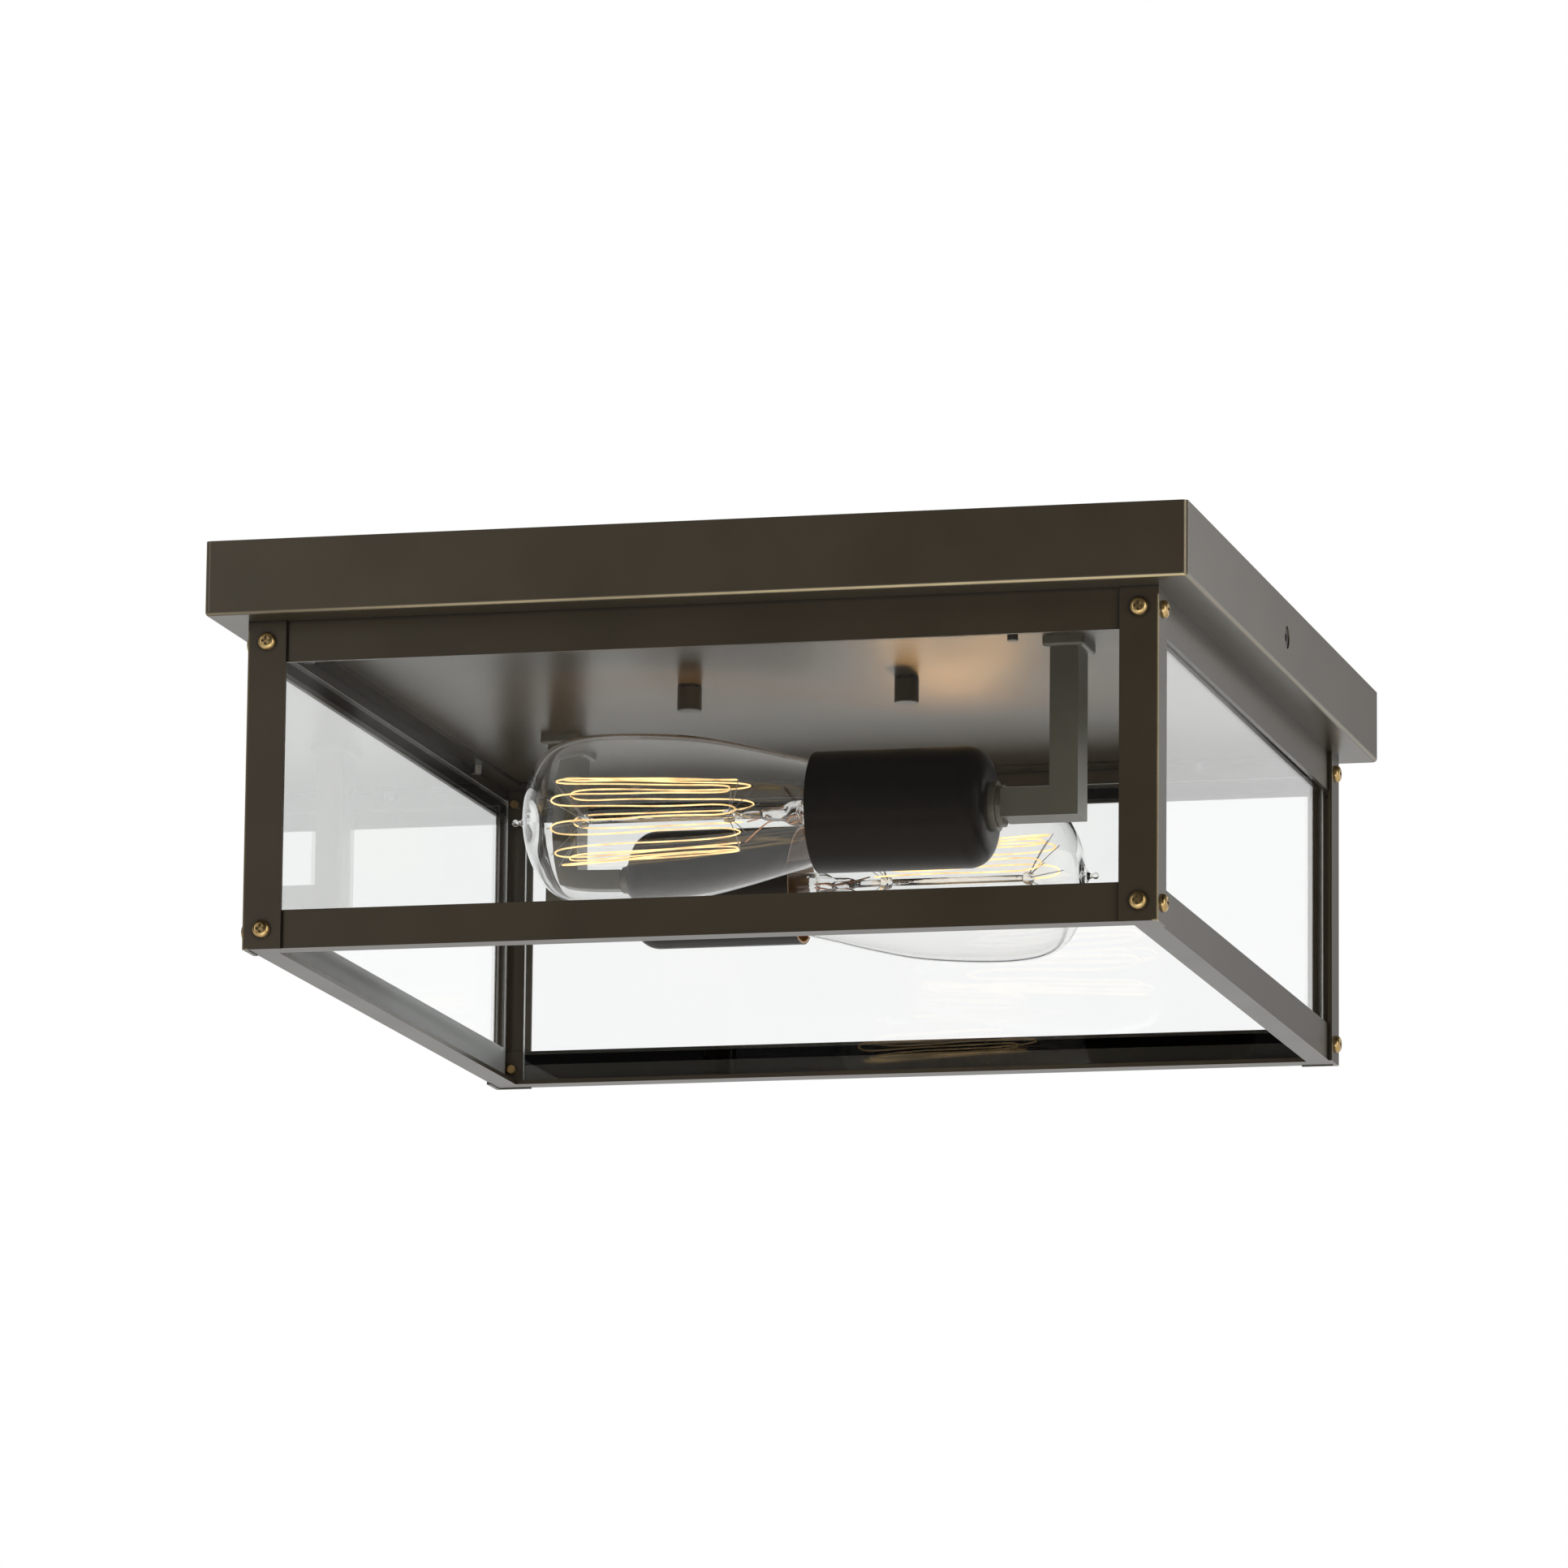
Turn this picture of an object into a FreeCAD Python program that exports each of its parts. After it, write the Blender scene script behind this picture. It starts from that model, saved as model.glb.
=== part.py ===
import FreeCAD, Part

import math
import os
import types

import Sketcher

# An outdoor ceiling light: a square canopy, an open-bottomed cage of rails, corner angles and clear
# panes, and two lamps lying flat in it. The origin is the middle of the canopy's top, where it meets
# the ceiling. X points right, Y away from the viewer and Z up. All sizes are in millimetres.

# Driving sizes

SIZES = {
    # Canopy: a square pressed pan, open towards the ceiling
    "canopy_width": 356.0,
    "canopy_depth": 27.0,
    "canopy_wall": 1.2,
    "canopy_corner": 2.0,
    "canopy_edge": 1.4,
    # Cage: four angle posts outside two squares of angle rails
    "cage_inset": 12.7,
    "cage_height": 118.4,
    "post_flange": 14.0,
    "post_wall": 1.5,
    "foot_drop": 0.3,
    "rail_width": 9.0,
    "rail_wall": 1.6,
    "top_rail_height": 15.0,
    "bottom_rail_height": 13.8,
    # Panes: they stand on the bottom rails, held to the rails' walls by strips of clear sealant
    "pane_thickness": 3.0,
    "pane_post_lap": 1.7,
    "pane_lap": 7.0,
    "seal_thickness": 0.6,
    "seal_height": 4.0,
    # Screws that hold the posts to the rails
    "post_screw_head": 3.2,
    "post_screw_rise": 2.1,
    "post_screw_shank": 1.6,
    "post_screw_reach": 5.0,
    "post_screw_round": 1.6,
    "post_screw_slot": 0.9,
    "post_screw_slot_depth": 0.9,
    # Screws that hold the cage under the canopy
    "cage_screw_head": 3.8,
    "cage_screw_rise": 2.4,
    "cage_screw_shank": 2.0,
    "cage_screw_reach": 6.0,
    "cage_screw_place": 110.0,
    # Crossbar: a cross of steel strip that is screwed to the ceiling box
    "bar_length": 108.0,
    "bar_width": 24.0,
    "bar_thickness": 2.2,
    "bar_hole": 6.0,
    "knob_line_offset": 20.0,
    "box_slot_spacing": 79.4,
    "box_slot_travel": 14.3,
    "box_slot_radius": 2.4,
    # Studs, their nuts, and the knobs that hold the canopy up
    "stud_spacing": 81.8,
    "stud_radius": 2.1,
    "stud_reach": 7.0,
    "stud_nut_flats": 8.0,
    "stud_nut_height": 3.2,
    "stud_clearance": 0.4,
    "knob_radius": 4.5,
    "knob_height": 8.7,
    "knob_roof": 1.6,
    "knob_edge": 0.5,
    "washer_radius": 4.4,
    "washer_thickness": 0.8,
    # Hole and plug in the canopy's right side
    "side_hole_radius": 4.2,
    "side_plug_flange": 5.6,
    "side_plug_flange_height": 1.0,
    "side_plug_recess": 0.5,
    "side_plug_socket": 1.6,
    # Lamps: each is laid along X, front one to the left and rear one to the right
    "lamp_offset": 73.0,
    "lamp_drop": 59.2,
    "cup_mouth": 21.3,
    "cup_radius": 21.9,
    "cup_length": 64.2,
    "cup_wall": 1.2,
    "cup_round": 9.0,
    "ring_radius": 9.0,
    "ring_step_radius": 7.6,
    "ring_length": 2.4,
    "ring_step_length": 2.2,
    # Arms: rectangular tube with a square turn, and a collar at the canopy
    "arm_thickness": 10.4,
    "arm_depth": 16.0,
    "arm_wall": 1.4,
    "arm_reach": 32.9,
    "collar_margin": 2.5,
    "collar_height": 3.6,
    "collar_round": 1.3,
    # Hollow threaded nipples and their nuts
    "nipple_radius": 3.6,
    "nipple_bore": 2.9,
    "nipple_rise": 9.0,
    "nipple_engagement": 6.0,
    "nipple_clearance": 0.2,
    "holder_engagement": 4.0,
    "nipple_nut_flats": 12.0,
    "nipple_nut_height": 3.5,
    # Lampholder with its screw shell and centre contact
    "holder_radius": 19.4,
    "holder_setback": 14.2,
    "holder_length": 34.0,
    "holder_floor": 7.0,
    "holder_lip": 1.5,
    "shell_wall": 0.4,
    "shell_length": 23.5,
    "shell_clearance": 0.6,
    "contact_radius": 4.0,
    "contact_gap": 0.3,
    "contact_height": 1.7,
    # Bulb: clear glass with a pinched tip, on a medium screw base
    "bulb_radius": 31.0,
    "bulb_length": 155.0,
    "bulb_wall": 0.9,
    "base_radius": 13.1,
    "base_crest": 0.55,
    "base_length": 21.0,
    "base_wall": 0.6,
    "base_threads": 5,
    "thread_pitch": 3.629,
    "button_radius": 4.6,
    "button_length": 1.6,
    "insulator_length": 3.9,
    "insulator_radius": 9.0,
    "turning_gap": 0.2,
    "neck_depth": 4.0,
    "neck_clearance": 2.4,
    "tip_radius": 1.3,
    "tip_neck_radius": 0.8,
    "tip_length": 5.0,
    # Glass stem and filament inside the bulb
    "stem_flange": 1.5,
    "stem_radius": 5.0,
    "stem_length": 30.0,
    "rod_radius": 1.4,
    "rod_length": 104.0,
    "rod_button": 2.6,
    "rod_button_length": 4.0,
    "filament_wire": 0.35,
    "filament_loops": 9,
    "filament_start": 44.0,
    "filament_end": 109.0,
    "filament_near_radius": 13.0,
    "filament_far_radius": 16.0,
    "filament_bend": 1.6,
    "hook_wire": 0.25,
    # Wiring inside the canopy
    "lead_radius": 1.2,
    "lead_bend": 6.0,
    "lead_pitch": 3.2,
    "lead_socket_depth": 2.0,
    "ground_wire_radius": 0.8,
    "ground_wire_bend": 2.4,
    "connector_radius": 6.0,
    "connector_tip_radius": 4.2,
    "connector_length": 20.0,
    "connector_bore": 4.4,
    "connector_bore_depth": 14.0,
    "connector_place": 52.0,
    "connector_approach": 22.0,
    "ground_screw_shank": 2.0,
    "ground_screw_head": 4.0,
    "ground_screw_rise": 2.4,
    "ground_screw_reach": 6.8,
    "ground_place_x": 98.0,
    "ground_place_y": 97.0,
    "ground_bar_place": 22.0,
    "ground_climb": 14.0,
    # One overrun for every cut
    "overrun": 1.0,
}


class Size(float):
    """A number that also carries the formula, in the sheet's names, that it came from."""

    def __new__(cls, number, formula):
        size = super().__new__(cls, number)
        size.formula = formula
        return size

    def __add__(self, other):
        return combine(self, "+", other, float(self) + float(other))

    def __radd__(self, other):
        return combine(other, "+", self, float(other) + float(self))

    def __sub__(self, other):
        return combine(self, "-", other, float(self) - float(other))

    def __rsub__(self, other):
        return combine(other, "-", self, float(other) - float(self))

    def __mul__(self, other):
        return combine(self, "*", other, float(self) * float(other))

    def __rmul__(self, other):
        return combine(other, "*", self, float(other) * float(self))

    def __truediv__(self, other):
        return combine(self, "/", other, float(self) / float(other))

    def __neg__(self):
        return combine(-1, "*", self, -float(self))


def wording(value):
    """The formula of a size, or a plain number as text."""
    return getattr(value, "formula", str(value))


def combine(left, sign, right, number):
    return Size(number, f"({wording(left)} {sign} {wording(right)})")


doc = FreeCAD.newDocument("ceiling_light")
sheet = doc.addObject("Spreadsheet::Sheet", "sizes")
for row, (word, number) in enumerate(SIZES.items(), start=1):
    sheet.set(f"A{row}", word)
    sheet.set(f"B{row}", str(number))
    sheet.setAlias(f"B{row}", word)
doc.recompute()

s = types.SimpleNamespace()
for word in SIZES:
    setattr(s, word, Size(sheet.get(word), f"sizes.{word}"))

X = FreeCAD.Vector(1, 0, 0)
Y = FreeCAD.Vector(0, 1, 0)
Z = FreeCAD.Vector(0, 0, 1)
TURN = 360
HALF_TURN = 180
SMALL_STEP = 1e-4
NUT_SIDES = 6

nodes = []


# Helpers

def bind(item, prop, size):
    """Ties a property to the formula of a size, or sets a plain zero or count."""
    if hasattr(size, "formula"):
        item.setExpression(prop, size.formula)
    elif "." not in prop:
        setattr(item, prop, size)


def place(item, x=0, y=0, z=0, rotation=None):
    """Turns an item, and ties its base point to sizes."""
    item.Placement = FreeCAD.Placement(FreeCAD.Vector(0, 0, 0), rotation or FreeCAD.Rotation())
    bind(item, "Placement.Base.x", x)
    bind(item, "Placement.Base.y", y)
    bind(item, "Placement.Base.z", z)
    return item


def keep(item, label):
    """Names a finished piece. Its label is its node's name."""
    item.Label = label
    nodes.append(item)
    return item


def origin_plane(body, role):
    for feature in body.Origin.OriginFeatures:
        if feature.Role == role:
            return feature
    raise ValueError(role)


def outline(sketch, points):
    """Draws a closed outline of straight lines whose corners are tied to sizes."""
    first = sketch.GeometryCount
    corners = [FreeCAD.Vector(float(x), float(y), 0) for x, y in points]
    count = len(corners)
    for index in range(count):
        line = Part.LineSegment(corners[index], corners[(index + 1) % count])
        sketch.addGeometry(line, False)
    for index in range(count):
        following = first + (index + 1) % count
        sketch.addConstraint(Sketcher.Constraint("Coincident", first + index, 2, following, 1))
    for index, (x, y) in enumerate(points):
        tie_point(sketch, first + index, 1, x, y)


def tie_point(sketch, geometry, vertex, x, y):
    """Ties one point of a sketch to its place."""
    for axis, kind, size in ((-2, "DistanceX", x), (-1, "DistanceY", y)):
        if hasattr(size, "formula"):
            number = sketch.addConstraint(Sketcher.Constraint(kind, geometry, vertex, float(size)))
            sketch.setExpression(f"Constraints[{number}]", size.formula)
        else:
            sketch.addConstraint(Sketcher.Constraint("PointOnObject", geometry, vertex, axis))


def round_hole(sketch, x, y, radius):
    """Draws a circle whose centre and radius are tied to sizes."""
    centre = FreeCAD.Vector(float(x), float(y), 0)
    circle = sketch.addGeometry(Part.Circle(centre, FreeCAD.Vector(0, 0, 1), float(radius)), False)
    tie_point(sketch, circle, 3, x, y)
    number = sketch.addConstraint(Sketcher.Constraint("Radius", circle, float(radius)))
    sketch.setExpression(f"Constraints[{number}]", radius.formula)


def new_sketch(body, name, role, drop=None):
    """Adds a sketch on one of the body's own origin planes, moved along its normal by a size."""
    sketch = body.newObject("Sketcher::SketchObject", name)
    sketch.AttachmentSupport = (origin_plane(body, role), "")
    sketch.MapMode = "FlatFace"
    if drop is not None:
        bind(sketch, "AttachmentOffset.Base.z", drop)
    return sketch


def pad(body, sketch, length, symmetric=False):
    """Pads a sketch against its normal, or to both sides of it."""
    feature = body.newObject("PartDesign::Pad", sketch.Name + "_pad")
    feature.Profile = sketch
    bind(feature, "Length", length)
    if symmetric:
        feature.SideType = "Symmetric"
    else:
        feature.Reversed = True
    sketch.Visibility = False
    body.Tip = feature
    return feature


def pocket(body, sketch, length, symmetric=False):
    """Cuts a sketch out of a body, along its normal's far side or to both sides of it."""
    doc.recompute()
    before = body.Shape.Volume
    feature = body.newObject("PartDesign::Pocket", sketch.Name + "_pocket")
    feature.Profile = sketch
    bind(feature, "Length", length)
    if symmetric:
        feature.SideType = "Symmetric"
    body.Tip = feature
    doc.recompute()
    if feature.Shape.isNull() or feature.Shape.Volume >= before:
        raise RuntimeError(f"{feature.Name} cuts nothing")
    return feature


def round_edges(body, radius, choose):
    """Rounds the edges of the body's tip that a test picks."""
    doc.recompute()
    base = body.Tip
    names = [f"Edge{index}" for index, edge in enumerate(base.Shape.Edges, start=1) if choose(edge)]
    if not names:
        raise RuntimeError(f"{body.Label}: no edge to round")
    feature = body.newObject("PartDesign::Fillet", body.Name + "_round")
    feature.Base = (base, names)
    bind(feature, "Radius", radius)
    body.Tip = feature
    return feature


def along(axis):
    """A test for straight edges that run along an axis."""
    def test(edge):
        if edge.Curve.TypeId != "Part::GeomLine":
            return False
        return abs(edge.tangentAt(edge.FirstParameter).dot(axis)) > 1 - SMALL_STEP
    return test


def turned(name, points, upright=False):
    """A turned piece: an outline in the XZ plane, revolved about X, or about Z if it is upright."""
    body = doc.addObject("PartDesign::Body", name)
    sketch = new_sketch(body, name + "_profile", "XZ_Plane")
    outline(sketch, points)
    turn = body.newObject("PartDesign::Revolution", name + "_turn")
    turn.Profile = sketch
    turn.ReferenceAxis = (sketch, ["V_Axis" if upright else "H_Axis"])
    turn.Angle = TURN
    body.Tip = turn
    return body


def padded(name, points, length, role="XY_Plane", symmetric=False):
    """A flat piece: an outline padded by a length."""
    body = doc.addObject("PartDesign::Body", name)
    sketch = new_sketch(body, name + "_outline", role)
    outline(sketch, points)
    pad(body, sketch, length, symmetric)
    return body


def cylinder(name, radius, height):
    item = doc.addObject("Part::Cylinder", name)
    bind(item, "Radius", radius)
    bind(item, "Height", height)
    return item


def box(name, length, width, height):
    item = doc.addObject("Part::Box", name)
    bind(item, "Length", length)
    bind(item, "Width", width)
    bind(item, "Height", height)
    return item


def hexagon(name, flats, height):
    """A hexagonal prism, for nuts."""
    item = doc.addObject("Part::Prism", name)
    item.Polygon = NUT_SIDES
    bind(item, "Circumradius", flats / math.sqrt(3))
    bind(item, "Height", height)
    return item


def cut(name, base, *tools):
    """Cuts one or more tools out of a base."""
    item = doc.addObject("Part::Cut", name)
    item.Base = base
    if len(tools) == 1:
        item.Tool = tools[0]
    else:
        item.Tool = fuse(name + "_tools", *tools)
    return item


def fuse(name, *parts):
    item = doc.addObject("Part::MultiFuse", name)
    item.Shapes = list(parts)
    return item


def group(label, *items):
    """One node for several separate solids."""
    item = doc.addObject("Part::Compound", label)
    item.Links = list(items)
    return keep(item, label)


def copied(master, name):
    """A plain copy of a finished shape, to be placed on its own."""
    doc.recompute()
    item = doc.addObject("Part::Feature", name)
    shape = master.Shape.copy()
    shape.Placement = FreeCAD.Placement()
    item.Shape = shape
    return item


def bent_path(points, radius):
    """Straight runs through the points, joined by tangent arcs of one radius."""
    edges = []
    start = points[0]
    for before, corner, after in zip(points, points[1:], points[2:]):
        come = (before - corner).normalize()
        leave = (after - corner).normalize()
        half = come.getAngle(leave) / 2
        reach = radius / math.tan(half)
        first = corner + come * reach
        last = corner + leave * reach
        middle = corner + (come + leave).normalize() * (radius / math.sin(half) - radius)
        edges.append(Part.LineSegment(start, first).toShape())
        edges.append(Part.Arc(first, middle, last).toShape())
        start = last
    edges.append(Part.LineSegment(start, points[-1]).toShape())
    return Part.Wire(edges)


def tube(path, radius):
    """A round wire along a path."""
    start = path.Edges[0]
    direction = start.tangentAt(start.FirstParameter)
    circle = Part.Circle(start.Vertexes[0].Point, direction, radius)
    section = Part.Wire([circle.toShape()])
    return path.makePipeShell([section], True, False)


def shaped(name, shape):
    """A piece whose shape is worked out in code."""
    item = doc.addObject("Part::Feature", name)
    item.Shape = shape
    return item


# Places that several pieces share

half = s.canopy_width / 2
under = -s.canopy_depth
floor_top = under + s.canopy_wall
cage_half = half - s.cage_inset
rail_out = cage_half - s.post_wall
rail_in = rail_out - s.rail_width
rail_middle = rail_out - s.rail_width / 2
wall_in = rail_out - s.rail_wall
pane_out = wall_in - s.seal_thickness
pane_in = pane_out - s.pane_thickness
post_middle = cage_half - s.post_flange / 2
cage_foot = under - s.cage_height
bottom_rail_foot = cage_foot + s.foot_drop
bottom_rail_top = bottom_rail_foot + s.bottom_rail_height
top_rail_foot = under - s.top_rail_height
top_screw_level = under - s.top_rail_height / 2
bottom_screw_level = bottom_rail_foot + s.bottom_rail_height / 2
lamp_level = under - s.lamp_drop
arm_start = s.cup_length + s.ring_length + s.ring_step_length
arm_end = s.cup_length + s.arm_reach
arm_middle = arm_end - s.arm_thickness / 2
arm_x = s.cup_mouth + arm_middle
stud_x = s.stud_spacing / 2
stud_y = -s.knob_line_offset

SIDES = {"front": -1, "back": 1, "left": -1, "right": 1}


# Screw holes that several pieces share: each is one cylinder per screw, used again as a cutter

def post_screw_places():
    """Every post screw's place on its flange, with the way that its head faces."""
    for side_x in (-1, 1):
        for side_y in (-1, 1):
            for level in (top_screw_level, bottom_screw_level):
                yield side_x * post_middle, side_y * cage_half, level, side_y * Y
                yield side_x * cage_half, side_y * post_middle, level, side_x * X


def cage_screw_places():
    """Every cage screw's place on the canopy's floor."""
    for side in (-1, 1):
        for end in (-1, 1):
            yield end * s.cage_screw_place, side * rail_middle
            yield side * rail_middle, end * s.cage_screw_place


post_holes = doc.addObject("Part::Compound", "post_screw_holes")
drills = []
for index, (x, y, z, outward) in enumerate(post_screw_places()):
    drill = cylinder(f"post_drill_{index}", s.post_screw_shank, s.post_screw_reach)
    drills.append(place(drill, x, y, z, FreeCAD.Rotation(Z, -outward)))
post_holes.Links = drills

cage_holes = doc.addObject("Part::Compound", "cage_screw_holes")
drills = []
for index, (x, y) in enumerate(cage_screw_places()):
    drill = cylinder(f"cage_drill_{index}", s.cage_screw_shank, s.cage_screw_reach)
    drills.append(place(drill, x, y, floor_top - s.cage_screw_reach))
cage_holes.Links = drills


# Canopy

def square(half_size):
    return oblong(half_size, half_size)


def oblong(half_x, half_y):
    return [(-half_x, -half_y), (half_x, -half_y), (half_x, half_y), (-half_x, half_y)]


canopy = padded("canopy_body", square(half), s.canopy_depth)
round_edges(canopy, s.canopy_corner, along(Z))


def lowest(edge):
    return abs(edge.BoundBox.ZMax - float(under)) < SMALL_STEP


round_edges(canopy, s.canopy_edge, lowest)
hollow = new_sketch(canopy, "canopy_hollow", "XY_Plane")
outline(hollow, square(half - s.canopy_wall))
pocket(canopy, hollow, s.canopy_depth - s.canopy_wall)
holes = new_sketch(canopy, "canopy_holes", "XY_Plane")
for side in (-1, 1):
    round_hole(holes, -side * arm_x, side * s.lamp_offset, s.nipple_radius + s.nipple_clearance)
    round_hole(holes, side * stud_x, stud_y, s.stud_radius + s.stud_clearance)
round_hole(holes, s.ground_place_x, -s.ground_place_y, s.ground_screw_shank)
pocket(canopy, holes, s.canopy_depth + s.overrun)
side_drill = cylinder("side_drill", s.side_hole_radius, s.canopy_wall + 2 * s.overrun)
side_level = under / 2
place(side_drill, half - s.canopy_wall - s.overrun, 0, side_level, FreeCAD.Rotation(Z, X))
keep(cut("canopy_with_holes", canopy, side_drill, cage_holes), "canopy_pan")

plug = turned("side_plug_body", [
    (-s.canopy_wall - s.side_plug_flange_height, 0),
    (-s.canopy_wall - s.side_plug_flange_height, s.side_plug_flange),
    (-s.canopy_wall, s.side_plug_flange),
    (-s.canopy_wall, s.side_hole_radius),
    (-s.side_plug_recess, s.side_hole_radius),
    (-s.side_plug_recess, s.side_plug_socket),
    (-s.canopy_wall, s.side_plug_socket),
    (-s.canopy_wall, 0),
])
keep(place(plug, half, 0, side_level), "side_plug")


# Cage: posts, rails and their screws

for front_back in ("front", "back"):
    for left_right in ("left", "right"):
        side_x = SIDES[left_right]
        side_y = SIDES[front_back]
        inner = cage_half - s.post_wall
        tip = cage_half - s.post_flange
        post = padded(f"post_{front_back}_{left_right}", [
            (side_x * cage_half, side_y * cage_half),
            (side_x * cage_half, side_y * tip),
            (side_x * inner, side_y * tip),
            (side_x * inner, side_y * inner),
            (side_x * tip, side_y * inner),
            (side_x * tip, side_y * cage_half),
        ], s.cage_height)
        place(post, 0, 0, under)
        drilled = cut(f"post_{front_back}_{left_right}_drilled", post, post_holes)
        keep(drilled, f"corner_post_{front_back}_{left_right}")

# Each rail is an angle. The flange is on top of a top rail and at the foot of a bottom one.
RAIL_LEVELS = {"top": (under, s.top_rail_height), "bottom": (bottom_rail_top, s.bottom_rail_height)}
for level, (rail_top, height) in RAIL_LEVELS.items():
    for side in ("front", "back", "left", "right"):
        sign = SIDES[side]
        corners = [(-rail_out, sign * rail_out), (rail_out, sign * rail_out),
                   (rail_in, sign * rail_in), (-rail_in, sign * rail_in)]
        inside = [(-wall_in, sign * wall_in), (wall_in, sign * wall_in),
                  (wall_in, sign * (rail_in - s.overrun)), (-wall_in, sign * (rail_in - s.overrun))]
        if side in ("left", "right"):
            corners = [(y, x) for x, y in corners]
            inside = [(y, x) for x, y in inside]
        rail = padded(f"{level}_rail_{side}_body", corners, height)
        inside_drop = -s.rail_wall if level == "top" else s.overrun
        angle_inside = new_sketch(rail, f"{level}_rail_{side}_inside", "XY_Plane", inside_drop)
        outline(angle_inside, inside)
        pocket(rail, angle_inside, height - s.rail_wall + s.overrun)
        place(rail, 0, 0, rail_top)
        cutters = (post_holes, cage_holes) if level == "top" else (post_holes,)
        keep(cut(f"{level}_rail_{side}_drilled", rail, *cutters), f"{level}_rail_{side}")

screw = turned("post_screw_body", [
    (0, -s.post_screw_reach),
    (s.post_screw_shank, -s.post_screw_reach),
    (s.post_screw_shank, 0),
    (s.post_screw_head, 0),
    (s.post_screw_head, s.post_screw_rise),
    (0, s.post_screw_rise),
], upright=True)


def rim(radius, level, axis):
    """A test for a round edge of one radius at one level along an axis."""
    def test(edge):
        if edge.Curve.TypeId != "Part::GeomCircle":
            return False
        same_size = abs(edge.Curve.Radius - float(radius)) < SMALL_STEP
        return same_size and abs(edge.Curve.Center.dot(axis) - float(level)) < SMALL_STEP
    return test


round_edges(screw, s.post_screw_round, rim(s.post_screw_head, s.post_screw_rise, Z))
slots = []
for name, length, width in (("slot_x", s.post_screw_head, s.post_screw_slot),
                            ("slot_y", s.post_screw_slot, s.post_screw_head)):
    slot = box(name, length, width, s.post_screw_slot_depth + s.overrun)
    slots.append(place(slot, -length / 2, -width / 2, s.post_screw_rise - s.post_screw_slot_depth))
post_screw = cut("post_screw_master", screw, *slots)
screws = []
for index, (x, y, z, outward) in enumerate(post_screw_places()):
    copy = copied(post_screw, f"post_screw_{index}")
    screws.append(place(copy, x, y, z, FreeCAD.Rotation(Z, outward)))
group("post_screws", *screws)

cage_screw = turned("cage_screw_master", [
    (0, -s.cage_screw_reach),
    (s.cage_screw_shank, -s.cage_screw_reach),
    (s.cage_screw_shank, 0),
    (s.cage_screw_head, 0),
    (s.cage_screw_head, s.cage_screw_rise),
    (0, s.cage_screw_rise),
], upright=True)
screws = []
for index, (x, y) in enumerate(cage_screw_places()):
    screws.append(place(copied(cage_screw, f"cage_screw_{index}"), x, y, floor_top))
group("cage_screws", *screws)


# Panes, and the strips of sealant that hold them to the rails

pane_top = top_rail_foot + s.pane_lap
pane_foot = bottom_rail_foot + s.rail_wall
pane_reach = cage_half - s.post_flange + s.pane_post_lap
seal_levels = (top_rail_foot + (s.pane_lap - s.seal_height) / 2,
               bottom_rail_top - (s.pane_lap + s.seal_height) / 2)
strips = []
for side in ("front", "back", "left", "right"):
    sign = SIDES[side]
    facing_y = side in ("front", "back")
    pane_near = -pane_out if sign < 0 else pane_in
    seal_near = -wall_in if sign < 0 else pane_out
    if facing_y:
        pane = box(f"pane_{side}", 2 * pane_reach, s.pane_thickness, pane_top - pane_foot)
        place(pane, -pane_reach, pane_near, pane_foot)
    else:
        pane = box(f"pane_{side}", s.pane_thickness, 2 * pane_reach, pane_top - pane_foot)
        place(pane, pane_near, -pane_reach, pane_foot)
    keep(pane, f"glass_pane_{side}")
    for index, level in enumerate(seal_levels):
        name = f"seal_{side}_{index}"
        if facing_y:
            strip = box(name, 2 * pane_reach, s.seal_thickness, s.seal_height)
            strips.append(place(strip, -pane_reach, seal_near, level))
        else:
            strip = box(name, s.seal_thickness, 2 * pane_reach, s.seal_height)
            strips.append(place(strip, seal_near, -pane_reach, level))
group("glazing_seals", *strips)


# Crossbar, studs and ground screws

bar_half = s.bar_length / 2
bar_side = s.bar_width / 2
bar = padded("crossbar_body", [
    (-bar_half, -bar_side), (-bar_side, -bar_side), (-bar_side, -bar_half), (bar_side, -bar_half),
    (bar_side, -bar_side), (bar_half, -bar_side), (bar_half, bar_side), (bar_side, bar_side),
    (bar_side, bar_half), (-bar_side, bar_half), (-bar_side, bar_side), (-bar_half, bar_side),
], s.bar_thickness)
bar_holes = new_sketch(bar, "crossbar_holes", "XY_Plane")
round_hole(bar_holes, 0, 0, s.bar_hole)
round_hole(bar_holes, s.ground_bar_place, 0, s.ground_screw_shank)
for side in (-1, 1):
    round_hole(bar_holes, side * stud_x, 0, s.stud_radius)
pocket(bar, bar_holes, s.bar_thickness + s.overrun)
place(bar, 0, stud_y, 0)
slot_depth = s.bar_thickness + 2 * s.overrun
slots = []
for side in (-1, 1):
    middle = side * s.box_slot_spacing / 2 + stud_y
    slot = box(f"box_slot_{side + 1}", 2 * s.box_slot_radius, s.box_slot_travel, slot_depth)
    slots.append(place(slot, -s.box_slot_radius, middle - s.box_slot_travel / 2, s.overrun - slot_depth))
    for end in (-1, 1):
        drill = cylinder(f"box_slot_{side + 1}_end_{end + 1}", s.box_slot_radius, slot_depth)
        slots.append(place(drill, 0, middle + end * s.box_slot_travel / 2, s.overrun - slot_depth))
keep(cut("crossbar_with_slots", bar, *slots), "mounting_crossbar")

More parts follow.
